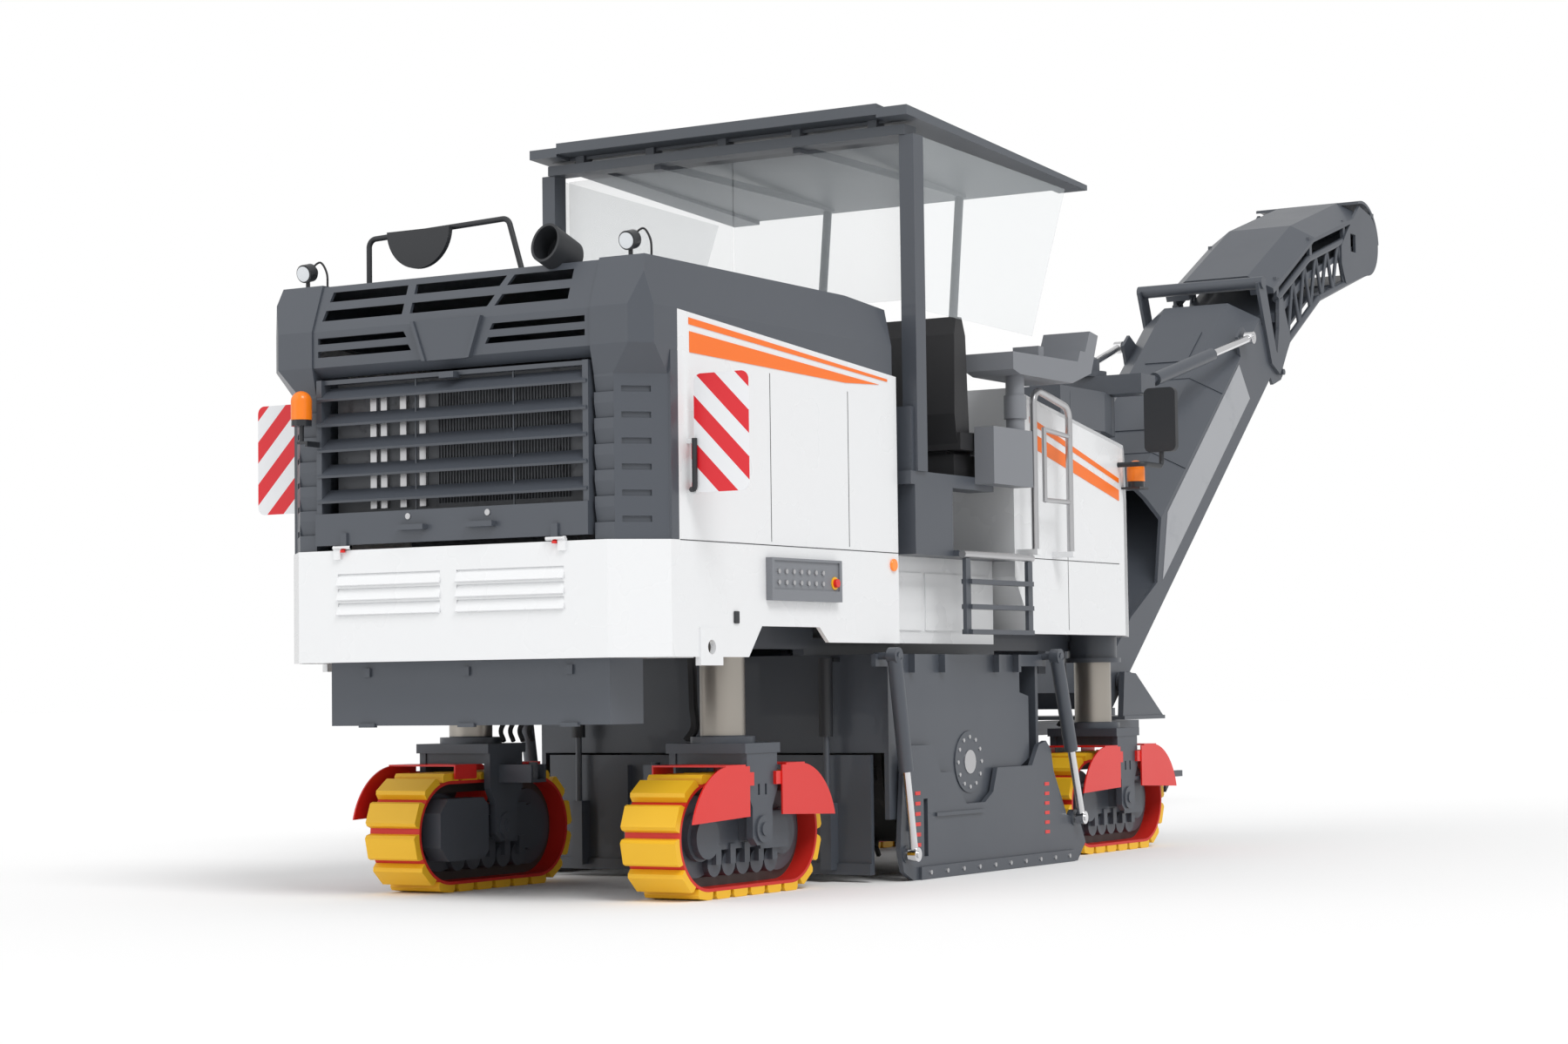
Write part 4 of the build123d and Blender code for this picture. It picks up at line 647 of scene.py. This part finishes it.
def paint(obj: bpy.types.Object, finish: Finish) -> None:
    """Gives an object one finish in place of what it had.

    Args:
        obj: The object.
        finish: Its finish.
    """
    obj.data.materials.clear()
    obj.data.materials.append(finish.material())


def across(a: float, b: float, depth: float) -> Vector:
    """Places a side view's (y, z) at a distance x from the middle."""
    return station(depth, a, b)


def upright(a: float, b: float, depth: float) -> Vector:
    """Places a rear view's (x, z) at a distance y along the machine."""
    return station(a, depth, b)


# ---------------------------------------------------------------- frame
@dataclass
class Shell:
    """The frame's own nodes with their finishes.

    Attributes:
        finishes: The nodes' names by finish.
        edge: Width of the rounding on the panels' edges.
        rounded: The nodes whose edges are rounded.
    """

    finishes: dict = field(default_factory=lambda: NODE_FINISHES)
    edge: float = 0.004
    rounded: tuple[str, ...] = (
        "hood", "rear_body", "front_body", "side_panels", "rear_box", "roof", "drum_housing",
        "side_plate_right", "side_plate_left", "consoles", "mast", "conveyor_lower", "platform", "seats",
    )

    def dress(self) -> None:
        """Gives each node its finish."""
        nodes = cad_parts
        for finish, names in self.finishes.items():
            for name in names:
                paint(nodes[name], finish)
        for name, node in nodes.items():
            if name.startswith(("luff_rod", "plate_rod")):
                paint(node, CHROME)
            elif name.startswith(("luff_barrel", "plate_jack")):
                paint(node, ANTHRACITE)
        for name in self.rounded:
            soften(nodes[name], self.edge, smooth=False)
        log.info("dressed %d nodes", len(nodes))


# ---------------------------------------------------------------- fittings
class Fittings:
    """Stripes, panels, lenses, hoses and other small things on both sides of the machine."""

    skin = 1.049  # half width of the body
    proud = 0.003  # how far a stripe stands out
    panel_face = 1.074  # x of the control panel's face
    knob = (1.53, 1.42)  # y and z of the stop knob
    hub = (2.927, 0.556)  # y and z of the drum's axis
    hub_faces = (1.031, 1.035)  # x of the hub's face and of its bolts' heads
    bolt_ring = 0.125  # radius of the hub's ring of bolts
    lamp_x = 0.9  # x of the rear lamps
    sheet_faces = (0.4201, 0.4225)  # x of the tarpaulin's inner and outer faces
    stripes = (  # outline of each orange stripe, as distance and height
        ((0.35, 2.552), (2.10, 2.420), (2.10, 2.408), (0.35, 2.522)),
        ((0.355, 2.492), (2.02, 2.388), (1.70, 2.372), (0.355, 2.400)),
        ((3.62, 2.345), (4.70, 2.075), (4.70, 2.050), (3.62, 2.312)),
        ((3.62, 2.270), (4.70, 2.010), (4.70, 1.950), (3.62, 2.190)),
    )
    seams = (  # dark joints between white panels, as ends of a line
        ((0.27, 1.582), (2.19, 1.582)), ((1.02, 1.60), (1.02, 2.36)), ((1.72, 1.60), (1.72, 2.33)),
        ((3.64, 1.60), (4.69, 1.60)), ((4.05, 1.23), (4.05, 2.10)),
    )

    def build(self) -> None:
        """Builds everything."""
        for word, side in SIDES:
            self.flank(word, side)
            self.drum_side(word, side)
            self.tarpaulin(word, side)
            self.hoses(word, side)
        self.tail()

    def flank(self, word: str, side: int) -> None:
        """Builds the stripes, seams, switches and small fittings of one flank.

        Args:
            word: The side's name.
            side: 1 for right and -1 for left.
        """
        face, out = side * self.skin, side * (self.skin + self.proud)
        orange = Shape()
        for outline in self.stripes:
            orange.prism(outline, across, face, out)
        orange.piece(f"orange_stripes_{word}", ORANGE, "chassis", smooth=False)
        dark = Shape()
        for start, end in self.seams:
            low = (min(start[0], end[0]) - 0.002, min(start[1], end[1]) - 0.002)
            high = (max(start[0], end[0]) + 0.002, max(start[1], end[1]) + 0.002)
            dark.block(station(face, low[0], low[1]), station(side * (self.skin + 0.001), high[0], high[1]))
        dark.piece(f"panel_seams_{word}", DARK, "chassis", smooth=False)
        panel = Shape()
        for row in range(2):
            for place in range(7):
                y, z = 1.03 + place * 0.065, 1.415 + row * 0.05
                panel.rod(station(side * self.panel_face, y, z), station(side * 1.084, y, z), 0.011, sides=12)
        panel.piece(f"switches_{word}", ZINC, "chassis")
        knob = self.knob
        plate = Shape().rod(station(side * self.panel_face, *knob), station(side * 1.080, *knob), 0.03)
        plate.piece(f"stop_plate_{word}", PAD, "chassis")
        stop = Shape().rod(station(side * self.panel_face, *knob), station(side * 1.098, *knob), 0.02)
        stop.piece(f"stop_knob_{word}", RED, "chassis", bevel=0.003)
        lamp = Shape().rod(station(face, 2.134, 1.523), station(side * 1.062, 2.134, 1.523), 0.03)
        lamp.piece(f"side_lamp_{word}", AMBER, "chassis", bevel=0.004)
        latch = Shape().block(station(face, 0.69, 1.225), station(side * 1.058, 0.73, 1.28))
        latch.piece(f"latch_{word}", DARK, "chassis", bevel=0.004)
        grip = Shape().pipe(
            (
                station(side * 1.07, 0.33, 1.80), station(side * 1.10, 0.31, 1.80),
                station(side * 1.10, 0.31, 2.02),
            ),
            0.012, 0.03,
        )
        grip.piece(f"board_arm_{word}", DARK, f"warning_board_{word}")

    def drum_side(self, word: str, side: int) -> None:
        """Builds the hub's bolts, and the side plate's red marks and skid bolts.

        Args:
            word: The side's name.
            side: 1 for right and -1 for left.
        """
        face, out = self.hub_faces
        bolts = Shape()
        for i in range(12):
            turn = 2 * math.pi * i / 12
            y = self.hub[0] + self.bolt_ring * math.cos(turn)
            z = self.hub[1] + self.bolt_ring * math.sin(turn)
            bolts.rod(station(side * face, y, z), station(side * out, y, z), 0.011, sides=6)
        bolts.rod(station(side * face, *self.hub), station(side * out, *self.hub), 0.06)
        bolts.piece(f"hub_bolts_{word}", ZINC, "chassis")
        marks = Shape()
        for y in (2.30, 3.70):
            for step in range(6):
                z = 0.16 + step * 0.05
                marks.block(station(side * 1.061, y, z), station(side * 1.063, y + 0.05, z + 0.018))
        marks.piece(f"depth_marks_{word}", RED, f"side_plate_{word}", smooth=False)
        heads = Shape()
        for place in range(10):
            y = 2.42 + place * 0.17
            heads.rod(station(side * 1.075, y, 0.032), station(side * 1.082, y, 0.032), 0.012, sides=6)
        heads.piece(f"skid_bolts_{word}", ZINC, f"side_plate_{word}")

    def tarpaulin(self, word: str, side: int) -> None:
        """Builds the grey cover on one side of the lower conveyor.

        Args:
            word: The side's name.
            side: 1 for right and -1 for left.
        """
        outline = ((6.66, 1.58), (7.40, 2.21), (8.10, 2.81), (7.93, 3.02), (7.25, 2.43), (6.75, 2.00))
        inside, outside = self.sheet_faces
        sheet = Shape().prism(outline, across, side * inside, side * outside)
        sheet.piece(f"tarpaulin_{word}", TARPAULIN, "conveyor_lower")

    def hoses(self, word: str, side: int) -> None:
        """Builds the hoses that hang from the body to the legs.

        Args:
            word: The side's name.
            side: 1 for right and -1 for left.
        """
        bundle = Shape()
        for middle in (REAR_AXLE, FRONT_AXLE):
            for place in range(4):
                x, y = side * (0.47 - place * 0.03), middle + 0.13 + place * 0.035
                bundle.hose((
                    station(x, y, 1.20), station(x, y + 0.02, 1.02), station(x + side * 0.05, y - 0.05, 0.86),
                    station(x + side * 0.09, y - 0.10, 0.76), station(x + side * 0.06, y - 0.12, 0.70),
                ), 0.012, sides=8)
        bundle.piece(f"leg_hoses_{word}", RUBBER, "chassis")

    def tail(self) -> None:
        """Builds the lamps' lenses and cables, the cooler's stays and fins, the hinges and the screws."""
        lenses, cables = Shape(), Shape()
        for _, side in SIDES:
            x = side * self.lamp_x
            lenses.rod(station(x, 0.0985, 2.8716), station(x, 0.094, 2.8705), 0.035)
        lenses.piece("rear_lamp_lenses", LENS, "chassis")
        for _, side in SIDES:
            x = side * self.lamp_x
            cables.hose((
                station(x, 0.150, 2.900), station(x + 0.04, 0.17, 2.93), station(x + 0.07, 0.18, 2.88),
                station(x + 0.075, 0.18, 2.81),
            ), 0.005, sides=8)
        cables.piece("rear_lamp_cables", RUBBER, "chassis")
        stays = Shape()
        for x in (-0.50, -0.44, -0.33, -0.22):
            stays.block(station(x, 0.084, 1.77), station(x + 0.035, 0.098, 2.30))
        stays.piece("cooler_stays", ZINC, "chassis")
        fins = Shape()
        for place in range(44):
            x = -0.12 + place * 0.0165
            fins.block(station(x, 0.090, 1.78), station(x + 0.004, 0.099, 2.30))
        fins.piece("cooler_fins", ENGINE, "chassis", smooth=False)
        hinges, tips = Shape(), Shape()
        for _, side in SIDES:
            x = side * 0.585
            hinges.rod(station(x - 0.045, -0.0095, 1.594), station(x + 0.045, -0.0095, 1.594), 0.0098)
            tips.rod(station(x, -0.012, 1.583), station(x, -0.012, 1.572), 0.012)
        hinges.piece("door_hinges", CHROME, "chassis")
        tips.piece("hinge_tips", RED, "chassis")
        screws = Shape()
        for x in (-0.22, 0.22):
            screws.rod(station(x, 0.0, 1.722), station(x, -0.005, 1.722), 0.014)
        screws.piece("door_screws", ZINC, "rear_door")


# ---------------------------------------------------------------- studio
@dataclass
class Studio:
    """Floor, light and camera.

    Attributes:
        eye: The camera's place, from the hood's rear face.
        yaw: Degrees the camera turns to the left of straight ahead.
        pitch: Degrees it looks up.
        roll: Degrees it leans.
        focal: Focal length in image widths.
        sky: Strength of the light from all round.
        sun: Strength of the soft key light.
        floor_size: Width of the floor.
    """

    eye: tuple[float, float, float] = (8.306, -10.796, 0.936)
    yaw: float = 31.322
    pitch: float = 3.098
    roll: float = -0.723
    focal: float = 3529.5 / 1800
    sky: float = 0.72
    sun: float = 1.3
    floor_size: float = 240.0

    def camera(self) -> None:
        """Places the camera."""
        data = bpy.data.cameras.new("camera")
        data.sensor_width = 36.0
        data.lens = self.focal * data.sensor_width
        data.clip_end = 500.0
        camera = bpy.data.objects.new("camera", data)
        turn = (
            Matrix.Rotation(math.radians(self.yaw), 4, "Z")
            @ Matrix.Rotation(math.radians(90 + self.pitch), 4, "X")
            @ Matrix.Rotation(math.radians(self.roll), 4, "Z")
        )
        camera.matrix_world = Matrix.Translation(station(*self.eye)) @ turn
        bpy.context.scene.collection.objects.link(camera)
        bpy.context.scene.camera = camera

    def floor(self) -> None:
        """Lays a pale floor."""
        half = self.floor_size / 2
        data = bpy.data.meshes.new("floor")
        corners = [(x * half, y * half, -0.001) for x, y in ((-1, -1), (1, -1), (1, 1), (-1, 1))]
        data.from_pydata(corners, [], [(0, 1, 2, 3)])
        obj = bpy.data.objects.new("floor", data)
        bpy.context.scene.collection.objects.link(obj)
        recipe = Recipe("studio_floor")
        recipe.set("Base Color", (0.93, 0.93, 0.93, 1.0))
        recipe.set("Roughness", 0.9)
        recipe.set("Specular IOR Level", 0.0)
        data.materials.append(recipe.material)

    def lights(self) -> None:
        """Lights the machine from all round and softly from behind the right shoulder."""
        world = bpy.data.worlds.new("studio_world")
        bpy.context.scene.world = world
        world.use_nodes = True
        tree = world.node_tree
        tree.nodes.clear()
        rays = tree.nodes.new("ShaderNodeLightPath")
        seen = Wire(tree, rays.outputs["Is Camera Ray"]) + Wire(tree, rays.outputs["Is Transmission Ray"])
        back = tree.nodes.new("ShaderNodeBackground")
        back.inputs["Color"].default_value = (1.0, 1.0, 1.0, 1.0)
        tree.links.new((seen.clamped() * (1.0 - self.sky) + self.sky).socket, back.inputs["Strength"])
        output = tree.nodes.new("ShaderNodeOutputWorld")
        tree.links.new(back.outputs[0], output.inputs[0])
        for name, strength, lean, turn, soft in (
            ("key", self.sun, 42, 60, 25), ("fill", self.sun * 0.35, 60, -35, 60),
        ):
            data = bpy.data.lights.new(name, "SUN")
            data.energy = strength
            data.angle = math.radians(soft)
            lamp = bpy.data.objects.new(name, data)
            lamp.rotation_euler = (math.radians(lean), 0.0, math.radians(turn))
            bpy.context.scene.collection.objects.link(lamp)

    def build(self) -> None:
        """Sets up the whole studio."""
        self.camera()
        self.floor()
        self.lights()
        bpy.context.scene.view_settings.view_transform = "Standard"


def main() -> None:
    """Builds everything in order."""
    logging.basicConfig(level=logging.INFO, format="%(message)s")
    Studio().build()
    Shell().dress()
    Fittings().build()


if __name__ == "__main__":
    main()
